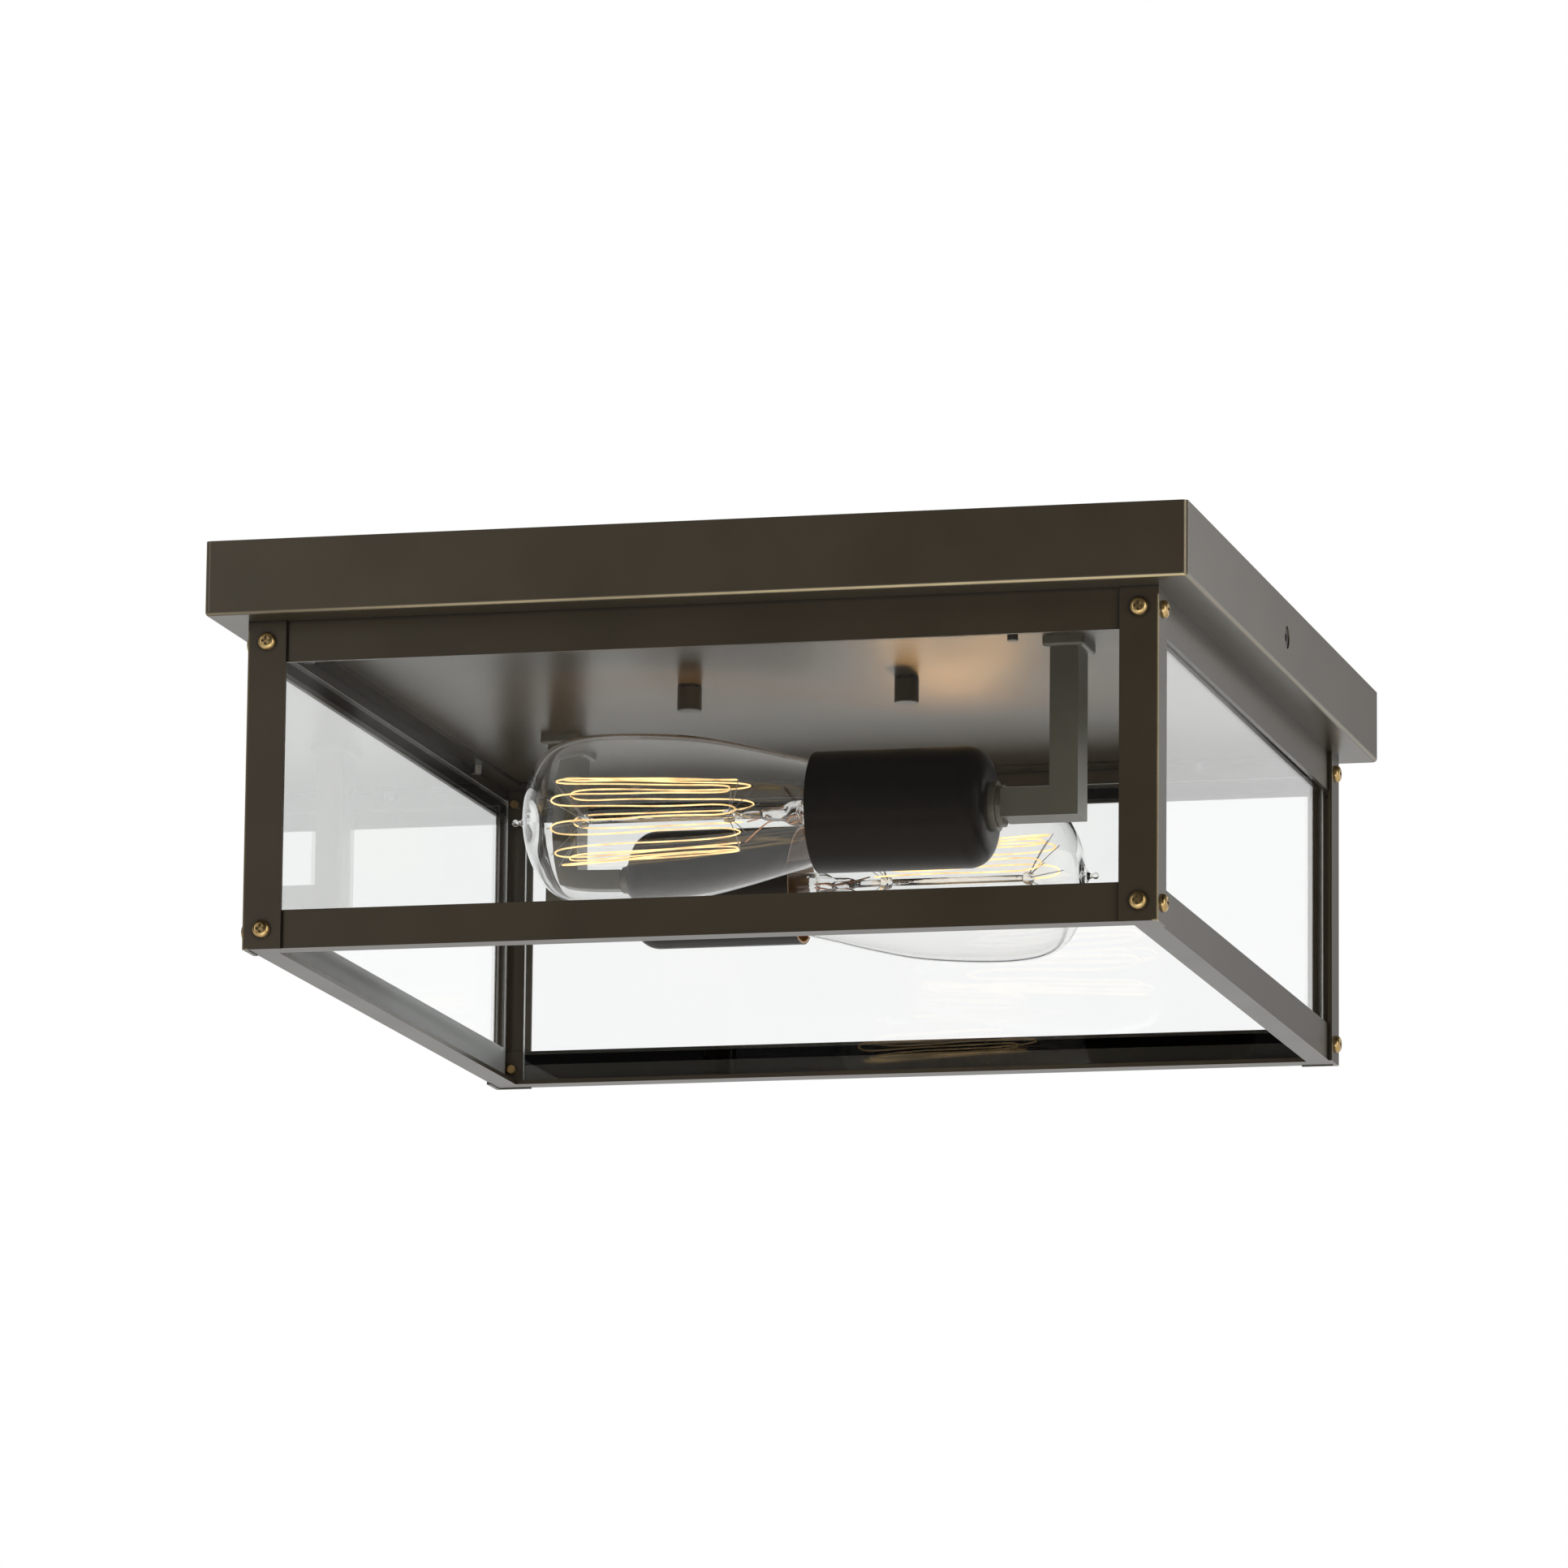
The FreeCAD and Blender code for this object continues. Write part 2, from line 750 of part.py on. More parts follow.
studs = []
nuts = []
for side in (-1, 1):
    stud = cylinder(f"stud_{side + 1}", s.stud_radius, s.canopy_depth + s.stud_reach)
    studs.append(place(stud, side * stud_x, stud_y, under - s.stud_reach))
    blank = hexagon(f"stud_nut_blank_{side + 1}", s.stud_nut_flats, s.stud_nut_height)
    thread = cylinder(f"stud_nut_thread_{side + 1}", s.stud_radius, s.stud_nut_height)
    nut = cut(f"stud_nut_{side + 1}", blank, thread)
    nuts.append(place(nut, side * stud_x, stud_y, -s.bar_thickness - s.stud_nut_height))
group("crossbar_studs", *studs)
group("stud_nuts", *nuts)


# The wire is bent into a ring under each head
ring_thickness = 2 * s.ground_wire_radius


def ground_screw(name, reach):
    """A ground screw with its head above its own origin and its shank below."""
    return turned(name, [
        (0, -reach),
        (s.ground_screw_shank, -reach),
        (s.ground_screw_shank, 0),
        (s.ground_screw_head, 0),
        (s.ground_screw_head, s.ground_screw_rise),
        (0, s.ground_screw_rise),
    ], upright=True)


pan_screw = ground_screw("pan_ground_screw", s.ground_screw_reach)
place(pan_screw, s.ground_place_x, -s.ground_place_y, floor_top + ring_thickness)
bar_screw = ground_screw("bar_ground_screw", s.bar_thickness + ring_thickness)
place(bar_screw, s.ground_bar_place, stud_y, -s.bar_thickness - ring_thickness,
      FreeCAD.Rotation(Z, -Z))
group("ground_screws", pan_screw, bar_screw)


def vector(x, y, z):
    return FreeCAD.Vector(float(x), float(y), float(z))


def ground_wire():
    """A bare wire from the canopy's screw to the crossbar's, with a ring under each head."""
    wire_level = floor_top + s.ground_wire_radius
    ring_level = -s.bar_thickness - s.ground_wire_radius
    pan_ring = vector(s.ground_place_x, -s.ground_place_y, wire_level)
    bar_ring = vector(s.ground_bar_place, stud_y, ring_level)
    way = (bar_ring - pan_ring).cross(Z).cross(-Z).normalize()
    edge = way * float(s.ground_screw_head - s.ground_wire_radius)
    corner = vector(bar_ring.x, bar_ring.y, wire_level) - way * float(s.ground_climb + s.ground_screw_head)
    landing = bar_ring - way * float(s.ground_climb)
    path = bent_path([pan_ring + edge, corner, landing, bar_ring - edge], float(s.ground_wire_bend))
    rings = []
    for centre, foot in ((pan_ring, floor_top), (bar_ring, -s.bar_thickness - ring_thickness)):
        middle = vector(centre.x, centre.y, foot)
        disc = Part.makeCylinder(float(s.ground_screw_head), float(ring_thickness), middle, Z)
        rings.append(disc)
    wire = tube(path, float(s.ground_wire_radius)).fuse(rings)
    for centre in (pan_ring, bar_ring):
        middle = vector(centre.x, centre.y, under)
        bore = Part.makeCylinder(float(s.ground_screw_shank), float(s.canopy_depth), middle, Z)
        wire = wire.cut(bore)
    return wire


keep(shaped("ground_wire_shape", ground_wire()), "ground_wire")


# Lamps. Each piece is drawn in its lamp's own frame: the origin is the middle of the cup's mouth, and
# X runs along the lamp into the cup. The rear lamp is the front one turned half round.

LAMPS = {"front": 1, "rear": -1}


def place_lamp(item, sign):
    rotation = FreeCAD.Rotation(Z, 0 if sign > 0 else HALF_TURN)
    return place(item, sign * s.cup_mouth, -sign * s.lamp_offset, lamp_level, rotation)


holder_end = s.cup_length - s.holder_setback
holder_start = holder_end - s.holder_length
holder_seat = holder_end - s.holder_floor
bulb_seat = holder_seat - s.contact_height - s.contact_gap
nipple_start = holder_end - s.holder_engagement
shell_bore = s.base_radius + s.shell_clearance
shell_radius = shell_bore + s.shell_wall
arm_half = s.arm_thickness / 2


def cup(name):
    inner_end = s.cup_length - s.cup_wall
    inner_radius = s.cup_radius - s.cup_wall
    body = turned(name, [
        (0, inner_radius),
        (0, s.cup_radius),
        (s.cup_length, s.cup_radius),
        (s.cup_length, s.nipple_radius),
        (inner_end, s.nipple_radius),
        (inner_end, inner_radius),
    ])
    round_edges(body, s.cup_round, rim(s.cup_radius, s.cup_length, X))
    round_edges(body, s.cup_round - s.cup_wall, rim(inner_radius, inner_end, X))
    return body


def ring(name):
    return turned(name, [
        (s.cup_length, s.nipple_radius),
        (s.cup_length, s.ring_radius),
        (s.cup_length + s.ring_length, s.ring_radius),
        (s.cup_length + s.ring_length, s.ring_step_radius),
        (arm_start, s.ring_step_radius),
        (arm_start, s.nipple_radius),
    ])


def arm(name):
    """A square-turned tube: an angle, hollowed out, with a hole for the leads at each end."""
    def angle(inset):
        low = -arm_half + inset
        high = arm_half - inset
        return [
            (arm_start + inset, low),
            (arm_end - inset, low),
            (arm_end - inset, s.lamp_drop - inset),
            (arm_end - s.arm_thickness + inset, s.lamp_drop - inset),
            (arm_end - s.arm_thickness + inset, high),
            (arm_start + inset, high),
        ]
    body = padded(name, angle(0), s.arm_depth, "XZ_Plane", symmetric=True)
    inside = new_sketch(body, name + "_inside", "XZ_Plane")
    outline(inside, angle(s.arm_wall))
    pocket(body, inside, s.arm_depth - 2 * s.arm_wall, symmetric=True)
    drill_length = s.arm_wall + 2 * s.overrun
    level_drill = cylinder(name + "_level_drill", s.nipple_radius, drill_length)
    place(level_drill, arm_start - s.overrun, 0, 0, FreeCAD.Rotation(Z, X))
    upright_drill = cylinder(name + "_upright_drill", s.nipple_radius, drill_length)
    place(upright_drill, arm_middle, 0, s.lamp_drop - s.arm_wall - s.overrun)
    return cut(name + "_drilled", body, level_drill, upright_drill)


def collar(name):
    """The plate round the arm, drawn from the canopy's underside down."""
    half_x = arm_half + s.collar_margin
    half_y = s.arm_depth / 2 + s.collar_margin
    body = padded(name, oblong(half_x, half_y), s.collar_height)
    round_edges(body, s.collar_round, along(Z))

    def foot(edge):
        return abs(edge.BoundBox.ZMax + float(s.collar_height)) < SMALL_STEP

    round_edges(body, s.collar_round, foot)
    hole = new_sketch(body, name + "_hole", "XY_Plane")
    outline(hole, oblong(arm_half, s.arm_depth / 2))
    pocket(body, hole, s.collar_height + s.overrun)
    return body


def holder(name):
    """A cup of moulded plastic whose floor takes the nipple and the ends of both leads."""
    body = turned(name, [
        (holder_start, shell_radius),
        (holder_start, s.holder_radius),
        (holder_end, s.holder_radius),
        (holder_end, s.nipple_radius),
        (nipple_start, s.nipple_radius),
        (nipple_start, 0),
        (holder_seat, 0),
        (holder_seat, shell_radius),
    ])
    sockets = []
    for side in (-1, 1):
        socket = cylinder(f"{name}_socket_{side + 1}", s.lead_radius, s.lead_socket_depth)
        start = nipple_start - s.lead_socket_depth
        sockets.append(place(socket, start, side * s.lead_pitch / 2, 0, FreeCAD.Rotation(Z, X)))
    return cut(name + "_drilled", body, *sockets)


def shell(name):
    start = holder_start + s.holder_lip
    return turned(name, [
        (start, shell_bore),
        (start, shell_radius),
        (start + s.shell_length, shell_radius),
        (start + s.shell_length, shell_bore),
    ])


def contact(name):
    return turned(name, [
        (bulb_seat + s.contact_gap, 0),
        (bulb_seat + s.contact_gap, s.contact_radius),
        (holder_seat, s.contact_radius),
        (holder_seat, 0),
    ])


base_end = bulb_seat - s.button_length - s.insulator_length
base_start = base_end - s.base_length
glass_length = s.bulb_length - bulb_seat + base_start
root_radius = s.base_radius - s.base_crest
base_bore = root_radius - s.base_wall
stem_cone_end = base_start - s.stem_length - s.stem_radius


def bulb_contact(name):
    return turned(name, [
        (base_end + s.turning_gap, 0),
        (base_end + s.turning_gap, s.insulator_radius),
        (bulb_seat - s.button_length, s.button_radius),
        (bulb_seat, s.contact_radius),
        (bulb_seat, 0),
    ])


def bulb_base(name):
    """A rolled screw shell, drawn as rounds with the thread's pitch."""
    points = [(base_start, base_bore), (base_start, root_radius)]
    margin = (s.base_length - s.base_threads * s.thread_pitch) / 2
    thread_start = base_start + margin
    for index in range(int(s.base_threads)):
        points.append((thread_start + index * s.thread_pitch, root_radius))
        points.append((thread_start + index * s.thread_pitch + s.thread_pitch / 2, s.base_radius))
    points.append((base_end - margin, root_radius))
    points.append((base_end, s.insulator_radius))
    points.append((base_end - s.base_wall, s.insulator_radius))
    points.append((base_end - margin - s.base_wall, base_bore))
    return turned(name, points)


# The glass's outline. Its neck lies in the cup: shares of the base's depth there, and of the radius
# that clears the cup's mouth. Its body stands out: shares of the length outside, and of the widest radius.
NECK_DEPTH_SHARES = (0.645, 0.0)
NECK_RADIUS_SHARES = (0.711, 1.0)
BODY_LENGTH_SHARES = (0.108, 0.245, 0.386, 0.549, 0.701, 0.808, 0.875, 0.921, 0.949)
BODY_RADIUS_SHARES = (0.70, 0.83, 0.935, 0.99, 1.0, 0.945, 0.81, 0.55, 0.22)
BODY_END_SHARE = 0.957


def glass_solid(inset, depth):
    """A solid of the bulb's outline, drawn smaller by an inset, with its neck carried into the base."""
    start = float(base_start)
    outside = float(glass_length) - start - inset
    radius = float(s.bulb_radius) - inset
    mouth_radius = float(s.cup_radius - s.cup_wall - s.neck_clearance)
    rim_radius = float(base_bore) - inset
    outline_points = [FreeCAD.Vector(start, 0, rim_radius)]
    for share, radius_share in zip(NECK_DEPTH_SHARES, NECK_RADIUS_SHARES):
        outline_points.append(FreeCAD.Vector(start * share, 0, mouth_radius * radius_share - inset))
    for share, radius_share in zip(BODY_LENGTH_SHARES, BODY_RADIUS_SHARES):
        outline_points.append(FreeCAD.Vector(-outside * share, 0, radius * radius_share))
    outline_points.append(FreeCAD.Vector(-outside * BODY_END_SHARE, 0, 0))
    curve = Part.BSplineCurve()
    curve.interpolate(outline_points, InitialTangent=-X, FinalTangent=-Z)
    neck = Part.makeLine(FreeCAD.Vector(start + depth, 0, rim_radius), outline_points[0])
    end = Part.makeLine(FreeCAD.Vector(start + depth, 0, 0), neck.Vertexes[0].Point)
    middle_line = Part.makeLine(outline_points[-1], end.Vertexes[0].Point)
    face = Part.Face(Part.Wire([end, neck, curve.toShape(), middle_line]))
    return face.revolve(FreeCAD.Vector(0, 0, 0), X, TURN)


def bulb_glass():
    wall = float(s.bulb_wall)
    depth = float(s.neck_depth)
    outer = glass_solid(0, depth)
    tip_end = FreeCAD.Vector(float(base_start - glass_length + s.tip_radius), 0, 0)
    neck = Part.makeCylinder(float(s.tip_neck_radius), float(s.tip_length) + wall, tip_end, X)
    outer = outer.fuse([Part.makeSphere(float(s.tip_radius), tip_end), neck])
    inner = glass_solid(wall, depth + float(s.overrun))
    return outer.cut(inner)


def stem(name):
    """The glass stem: a flared tube, then a rod with a button that carries the hooks."""
    flange = base_start + s.neck_depth
    flange_radius = base_bore - s.bulb_wall
    rod_end = base_start - s.rod_length
    return turned(name, [
        (flange, 0),
        (flange, flange_radius),
        (flange - s.stem_flange, flange_radius),
        (base_start, s.stem_radius),
        (base_start - s.stem_length, s.stem_radius),
        (stem_cone_end, s.rod_radius),
        (rod_end + s.rod_button_length, s.rod_radius),
        (rod_end + s.rod_button_length, s.rod_button),
        (rod_end, s.rod_button),
        (rod_end, 0),
    ])


def around(x, radius, angle):
    """A point at a radius and an angle round the lamp's axis."""
    return FreeCAD.Vector(x, radius * math.cos(angle), radius * math.sin(angle))


def filament(stem_shape):
    """One wire in long hairpins round the rod, both ends led into the stem, and a hook in each bend."""
    runs = int(s.filament_loops) * 2
    step = math.tau / (runs + 1)
    near = float(base_start - s.filament_start)
    far = float(base_start - s.filament_end)
    cone = float(base_start - s.stem_length - s.stem_radius / 2)
    near_radius = float(s.filament_near_radius)
    far_radius = float(s.filament_far_radius)
    rod_radius = float(s.rod_radius)
    points = [around(cone, rod_radius, 0)]
    hooks = []
    for index in range(runs):
        ends = [around(near, near_radius, step * index), around(far, far_radius, step * index)]
        going_out = index % 2 == 0
        points += ends if going_out else reversed(ends)
        if index == runs - 1:
            break
        bend_angle = step * (index + 1 / 2)
        sag = math.cos(step / 2)
        if going_out:
            foot = around(float(base_start - s.rod_length + s.rod_button_length / 2), rod_radius, bend_angle)
            bend = around(far, far_radius * sag, bend_angle)
        else:
            foot = around(cone, rod_radius, bend_angle)
            bend = around(near, near_radius * sag, bend_angle)
        way = bend - foot
        hooks.append(Part.makeCylinder(float(s.hook_wire), way.Length, foot, way))
    points.append(around(cone, rod_radius, step * (runs - 1)))
    wire = tube(bent_path(points, float(s.filament_bend)), float(s.filament_wire))
    return wire.fuse(hooks).cut(stem_shape)


def nipple_nut(name):
    blank = hexagon(name + "_blank", s.nipple_nut_flats, s.nipple_nut_height)
    thread = cylinder(name + "_thread", s.nipple_radius, s.nipple_nut_height)
    return cut(name, blank, thread)


glass_shape = bulb_glass()
stem_master = stem("stem_master")
doc.recompute()
filament_shape = filament(stem_master.Shape)
nipples = []
nuts = []
holder_nipples = []
for name, sign in LAMPS.items():
    keep(place_lamp(cup(f"cup_{name}"), sign), f"socket_cup_{name}")
    keep(place_lamp(ring(f"ring_{name}"), sign), f"cup_ring_{name}")
    keep(place_lamp(arm(f"arm_{name}"), sign), f"lamp_arm_{name}")
    plate = collar(f"collar_{name}")
    keep(place(plate, sign * arm_x, -sign * s.lamp_offset, under), f"arm_collar_{name}")
    keep(place_lamp(holder(f"holder_{name}"), sign), f"lampholder_{name}")
    keep(place_lamp(shell(f"shell_{name}"), sign), f"screw_shell_{name}")
    keep(place_lamp(contact(f"contact_{name}"), sign), f"centre_contact_{name}")
    keep(place_lamp(bulb_contact(f"button_{name}"), sign), f"bulb_contact_{name}")
    keep(place_lamp(bulb_base(f"base_{name}"), sign), f"bulb_base_{name}")
    keep(place_lamp(shaped(f"glass_{name}", glass_shape.copy()), sign), f"bulb_glass_{name}")
    keep(place_lamp(stem(f"stem_{name}"), sign), f"bulb_stem_{name}")
    keep(place_lamp(shaped(f"filament_{name}", filament_shape.copy()), sign), f"bulb_filament_{name}")

    nipple = turned(f"arm_nipple_{name}", [
        (s.nipple_bore, -s.nipple_engagement),
        (s.nipple_radius, -s.nipple_engagement),
        (s.nipple_radius, s.canopy_wall + s.nipple_rise),
        (s.nipple_bore, s.canopy_wall + s.nipple_rise),
    ], upright=True)
    nipples.append(place(nipple, sign * arm_x, -sign * s.lamp_offset, under))
    level_nipple = turned(f"holder_nipple_{name}", [
        (nipple_start, s.nipple_bore),
        (nipple_start, s.nipple_radius),
        (arm_start + s.nipple_engagement, s.nipple_radius),
        (arm_start + s.nipple_engagement, s.nipple_bore),
    ])
    holder_nipples.append(place_lamp(level_nipple, sign))
    cup_nut_x = s.cup_mouth + s.cup_length - s.cup_wall - s.nipple_nut_height
    upright_nut = nipple_nut(f"arm_nut_{name}")
    nuts.append(place(upright_nut, sign * arm_x, -sign * s.lamp_offset, floor_top))
    level_nut = nipple_nut(f"cup_nut_{name}")
    place(level_nut, sign * cup_nut_x, -sign * s.lamp_offset, lamp_level, FreeCAD.Rotation(Z, sign * X))
    nuts.append(level_nut)
group("arm_nipples", *nipples)
group("holder_nipples", *holder_nipples)
group("nipple_nuts", *nuts)


# Wiring: two leads from each lamp, joined in two connectors that lie on the canopy's floor, one on each
# side of the line through both arms

arm_foot = vector(arm_x, -s.lamp_offset, lamp_level)
across = FreeCAD.Vector(float(s.lamp_offset), float(arm_x), 0).normalize()
connector_level = floor_top + s.connector_radius


def lead(sign, toward):
    """A lead from one lampholder, up its arm and over to the connector on one side."""
    offset = Y * (toward * float(s.lead_pitch) / 2)
    turn = FreeCAD.Rotation(Z, 0 if sign > 0 else HALF_TURN)
    begin = float(s.cup_mouth + nipple_start - s.lead_socket_depth)
    rise = float(floor_top + s.nipple_rise + s.lead_bend + s.lead_radius)
    mouth = across * (toward * float(s.connector_place))
    inward = across * toward
    side = inward.cross(Z) * (float(s.lead_pitch) / 2)
    level = Z * float(connector_level)
    points = [
        FreeCAD.Vector(begin, arm_foot.y, arm_foot.z) + offset,
        arm_foot + offset,
        FreeCAD.Vector(arm_foot.x, arm_foot.y, rise) + offset,
        mouth - inward * float(s.connector_approach) + side * toward + level,
        mouth + inward * float(s.connector_bore_depth - s.lead_bend) + side * toward + level,
    ]
    points = [turn.multVec(point) for point in points]
    return tube(bent_path(points, float(s.lead_bend)), float(s.lead_radius))


keep(shaped("black_leads_shape", Part.makeCompound([lead(1, 1), lead(-1, -1)])), "black_leads")
keep(shaped("white_leads_shape", Part.makeCompound([lead(1, -1), lead(-1, 1)])), "white_leads")

connectors = []
for name, toward in (("black", 1), ("white", -1)):
    connector = turned(f"connector_{name}", [
        (0, s.connector_bore),
        (0, s.connector_radius),
        (s.connector_length, s.connector_tip_radius),
        (s.connector_length, 0),
        (s.connector_bore_depth, 0),
        (s.connector_bore_depth, s.connector_bore),
    ])
    line = math.hypot(s.lamp_offset, arm_x)
    x = toward * s.connector_place * float(s.lamp_offset) / line
    y = toward * s.connector_place * float(arm_x) / line
    connectors.append(place(connector, x, y, connector_level, FreeCAD.Rotation(X, across * toward)))
group("wire_connectors", *connectors)


# Knobs, which hold the canopy up on the studs

for name in ("left", "right"):
    side = SIDES[name]
    bore = s.stud_radius + s.stud_clearance
    washer = turned(f"washer_{name}", [
        (bore, -s.washer_thickness),
        (s.washer_radius, -s.washer_thickness),
        (s.washer_radius, 0),
        (bore, 0),
    ], upright=True)
    keep(place(washer, side * stud_x, stud_y, under), f"knob_washer_{name}")
    knob = turned(f"knob_{name}_body", [
        (0, -s.knob_height),
        (s.knob_radius, -s.knob_height),
        (s.knob_radius, 0),
        (bore, 0),
        (bore, s.knob_roof - s.knob_height),
        (0, s.knob_roof - s.knob_height),
    ], upright=True)
    round_edges(knob, s.knob_edge, rim(s.knob_radius, -s.knob_height, Z))
    knob_top = under - s.washer_thickness - s.turning_gap
    keep(place(knob, side * stud_x, stud_y, knob_top), f"knob_{name}")


# Checks, then one file for each piece

doc.recompute()
for item in doc.Objects:
    if "Invalid" in item.State or "Error" in item.State:
        raise RuntimeError(f"{item.Name} ({item.Label}): {item.State}")
for item in nodes:
    if item.Shape.isNull() or not item.Shape.isValid() or not item.Shape.Solids:
        raise RuntimeError(f"{item.Label} has no sound shape")

os.makedirs("parts", exist_ok=True)
for item in nodes:
    item.Shape.exportStep(f"parts/{item.Label}.step")
print(f"{len(nodes)} pieces written")
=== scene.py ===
# %% [markdown]
# # An outdoor ceiling light, dressed on its solids
#
# The light is a shallow square canopy with a frame of clear panes under it, and two long filament
# bulbs that lie flat inside the frame. Its solids are exact already, so this file gives them their
# finishes, and builds finely only what a solid shows too plainly: blown glass, glowing wire, rolled
# threads and ribbed wire caps. All lengths are in metres. X points right, Y away from the viewer
# and Z up, and the canopy's top lies at zero.

import math

import bmesh
import bpy
from mathutils import Matrix, Vector


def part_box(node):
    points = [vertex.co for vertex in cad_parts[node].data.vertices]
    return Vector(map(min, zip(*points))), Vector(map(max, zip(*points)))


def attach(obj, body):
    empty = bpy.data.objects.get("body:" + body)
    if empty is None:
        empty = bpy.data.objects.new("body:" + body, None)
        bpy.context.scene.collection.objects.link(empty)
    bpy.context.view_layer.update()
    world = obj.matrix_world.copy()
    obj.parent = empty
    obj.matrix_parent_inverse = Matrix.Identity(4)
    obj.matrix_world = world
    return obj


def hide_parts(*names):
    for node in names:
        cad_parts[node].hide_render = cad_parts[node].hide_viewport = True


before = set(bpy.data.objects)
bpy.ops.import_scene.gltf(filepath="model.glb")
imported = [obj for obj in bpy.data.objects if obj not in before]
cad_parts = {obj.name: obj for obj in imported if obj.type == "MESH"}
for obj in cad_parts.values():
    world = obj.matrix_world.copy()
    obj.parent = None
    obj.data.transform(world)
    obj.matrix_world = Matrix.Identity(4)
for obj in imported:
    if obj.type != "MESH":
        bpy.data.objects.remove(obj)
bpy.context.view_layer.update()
MM = 0.001
LAMPS = ("front", "rear")

# %% [markdown]
# ## Where the picture is taken from
#
# A long lens a few metres away keeps upright edges nearly parallel. The light was seen from a little
# below, so its underside shows, and from slightly to the right. The camera could be aimed by eye
# with an empty to track, but the corners of the canopy and of the frame fix it closely: three turns,
# one place and one focal length, written here as shares of the picture's width.

# %% Camera
EYE = Vector((0.8455, -3.3743, -0.7100))
YAW = math.radians(14.23)
PITCH = math.radians(-10.56)
ROLL = math.radians(0.59)
FOCAL_SHARE = 6.1455
SENSOR_WIDTH = 36.0
FURTHEST = 30

level_view = Matrix(((1, 0, 0), (0, 0, -1), (0, 1, 0)))
turned_view = Matrix.Rotation(ROLL, 3, "Z") @ Matrix.Rotation(PITCH, 3, "X") @ level_view
turned_view = turned_view @ Matrix.Rotation(-YAW, 3, "Z")
upright_view = Matrix.Diagonal((1, -1, -1)) @ turned_view
camera = bpy.data.objects.new("camera", bpy.data.cameras.new("camera"))
bpy.context.scene.collection.objects.link(camera)
camera.matrix_world = Matrix.Translation(EYE) @ upright_view.transposed().to_4x4()
camera.data.sensor_width = SENSOR_WIDTH
camera.data.lens = SENSOR_WIDTH * FOCAL_SHARE
camera.data.clip_end = FURTHEST
bpy.context.scene.camera = camera
bpy.context.scene.view_settings.view_transform = "Standard"
print("lens:", round(camera.data.lens, 1), "mm")

# %% [markdown]
# ## A small kit for finishes
#
# Every finish below is one Principled shader with a few nodes in front of it. Short helpers keep
# those cells readable: one starts a finish, one sets what is even all over it, and one adds a node,
# taking its plain values and its incoming sockets in the same dictionary. Patterns read Object
# coordinates. The solids all sit at the origin, so a pattern's scale is simply "so many per metre"
# and runs across neighbouring pieces.


# %% Helpers for node trees
def start_finish(name):
    """A new material, with its node tree and its Principled shader."""
    finish = bpy.data.materials.new(name)
    finish.use_nodes = True
    tree = finish.node_tree
    return finish, tree, tree.nodes["Principled BSDF"]


def set_even(shader, values):
    """Sets what is the same all over a surface, on the shader's own sockets."""
    for name, value in values.items():
        shader.inputs[name].default_value = value


def add_node(tree, kind, inputs=None, **settings):
    """Adds a node. An input that is a socket is linked, and any other is set."""
    node = tree.nodes.new(kind)
    for name, value in settings.items():
        setattr(node, name, value)
    for name, value in (inputs or {}).items():
        if isinstance(value, bpy.types.NodeSocket):
            tree.links.new(value, node.inputs[name])
        else:
            node.inputs[name].default_value = value
    return node


def feed(tree, shader, name, value):
    """Links a socket to one of the shader's inputs."""
    tree.links.new(value, shader.inputs[name])


# %% Helpers for sums
def maths(tree, operation, first, second=0.0):
    """One Math node's result."""
    return add_node(tree, "ShaderNodeMath", {0: first, 1: second}, operation=operation).outputs[0]


def times(tree, first, *others):
    """The product of some values."""
    for other in others:
        first = maths(tree, "MULTIPLY", first, other)
    return first


def apart(tree, first, second=0.0):
    """How far apart two values are."""
    return maths(tree, "ABSOLUTE", maths(tree, "SUBTRACT", first, second))


def parts_of(tree, vector):
    """The X, Y and Z of a vector, by name."""
    return add_node(tree, "ShaderNodeSeparateXYZ", {"Vector": vector}).outputs


def spread(tree, value, low, high, to_low=0.0, to_high=1.0):
    """Maps a value from one range to another, and holds it there."""
    values = {"Value": value, "From Min": low, "From Max": high, "To Min": to_low, "To Max": to_high}
    return add_node(tree, "ShaderNodeMapRange", values).outputs["Result"]


# %% Helpers for patterns
def places(tree):
    """Object coordinates."""
    return add_node(tree, "ShaderNodeTexCoord").outputs["Object"]


def facing(tree):
    """The way a surface faces."""
    return add_node(tree, "ShaderNodeNewGeometry").outputs["Normal"]


def openness(tree, distance, samples):
    """1 in the open, and less the more a spot is shut in within a distance."""
    return add_node(tree, "ShaderNodeAmbientOcclusion", {"Distance": distance}, samples=samples).outputs["AO"]


def clouds(tree, scale, detail=4.0, roughness=0.55):
    """A soft noise from 0 to 1, so many clouds to a metre."""
    values = {"Vector": places(tree), "Scale": scale, "Detail": detail, "Roughness": roughness}
    return add_node(tree, "ShaderNodeTexNoise", values).outputs["Fac"]


def between(tree, share, first, second):
    """A colour between two others. Each is a socket or a tuple of red, green and blue."""
    node = add_node(tree, "ShaderNodeMix", data_type="RGBA")
    tree.links.new(share, node.inputs[0])
    for socket, colour in ((node.inputs[6], first), (node.inputs[7], second)):
        if isinstance(colour, tuple):
            socket.default_value = (*colour, 1.0)
        else:
            tree.links.new(colour, socket)
    return node.outputs[2]


def dent(tree, shader, height, depth):
    """Turns a height into bump, by so many metres from 0 to 1."""
    values = {"Height": height, "Distance": depth, "Strength": 1.0}
    feed(tree, shader, "Normal", add_node(tree, "ShaderNodeBump", values).outputs["Normal"])


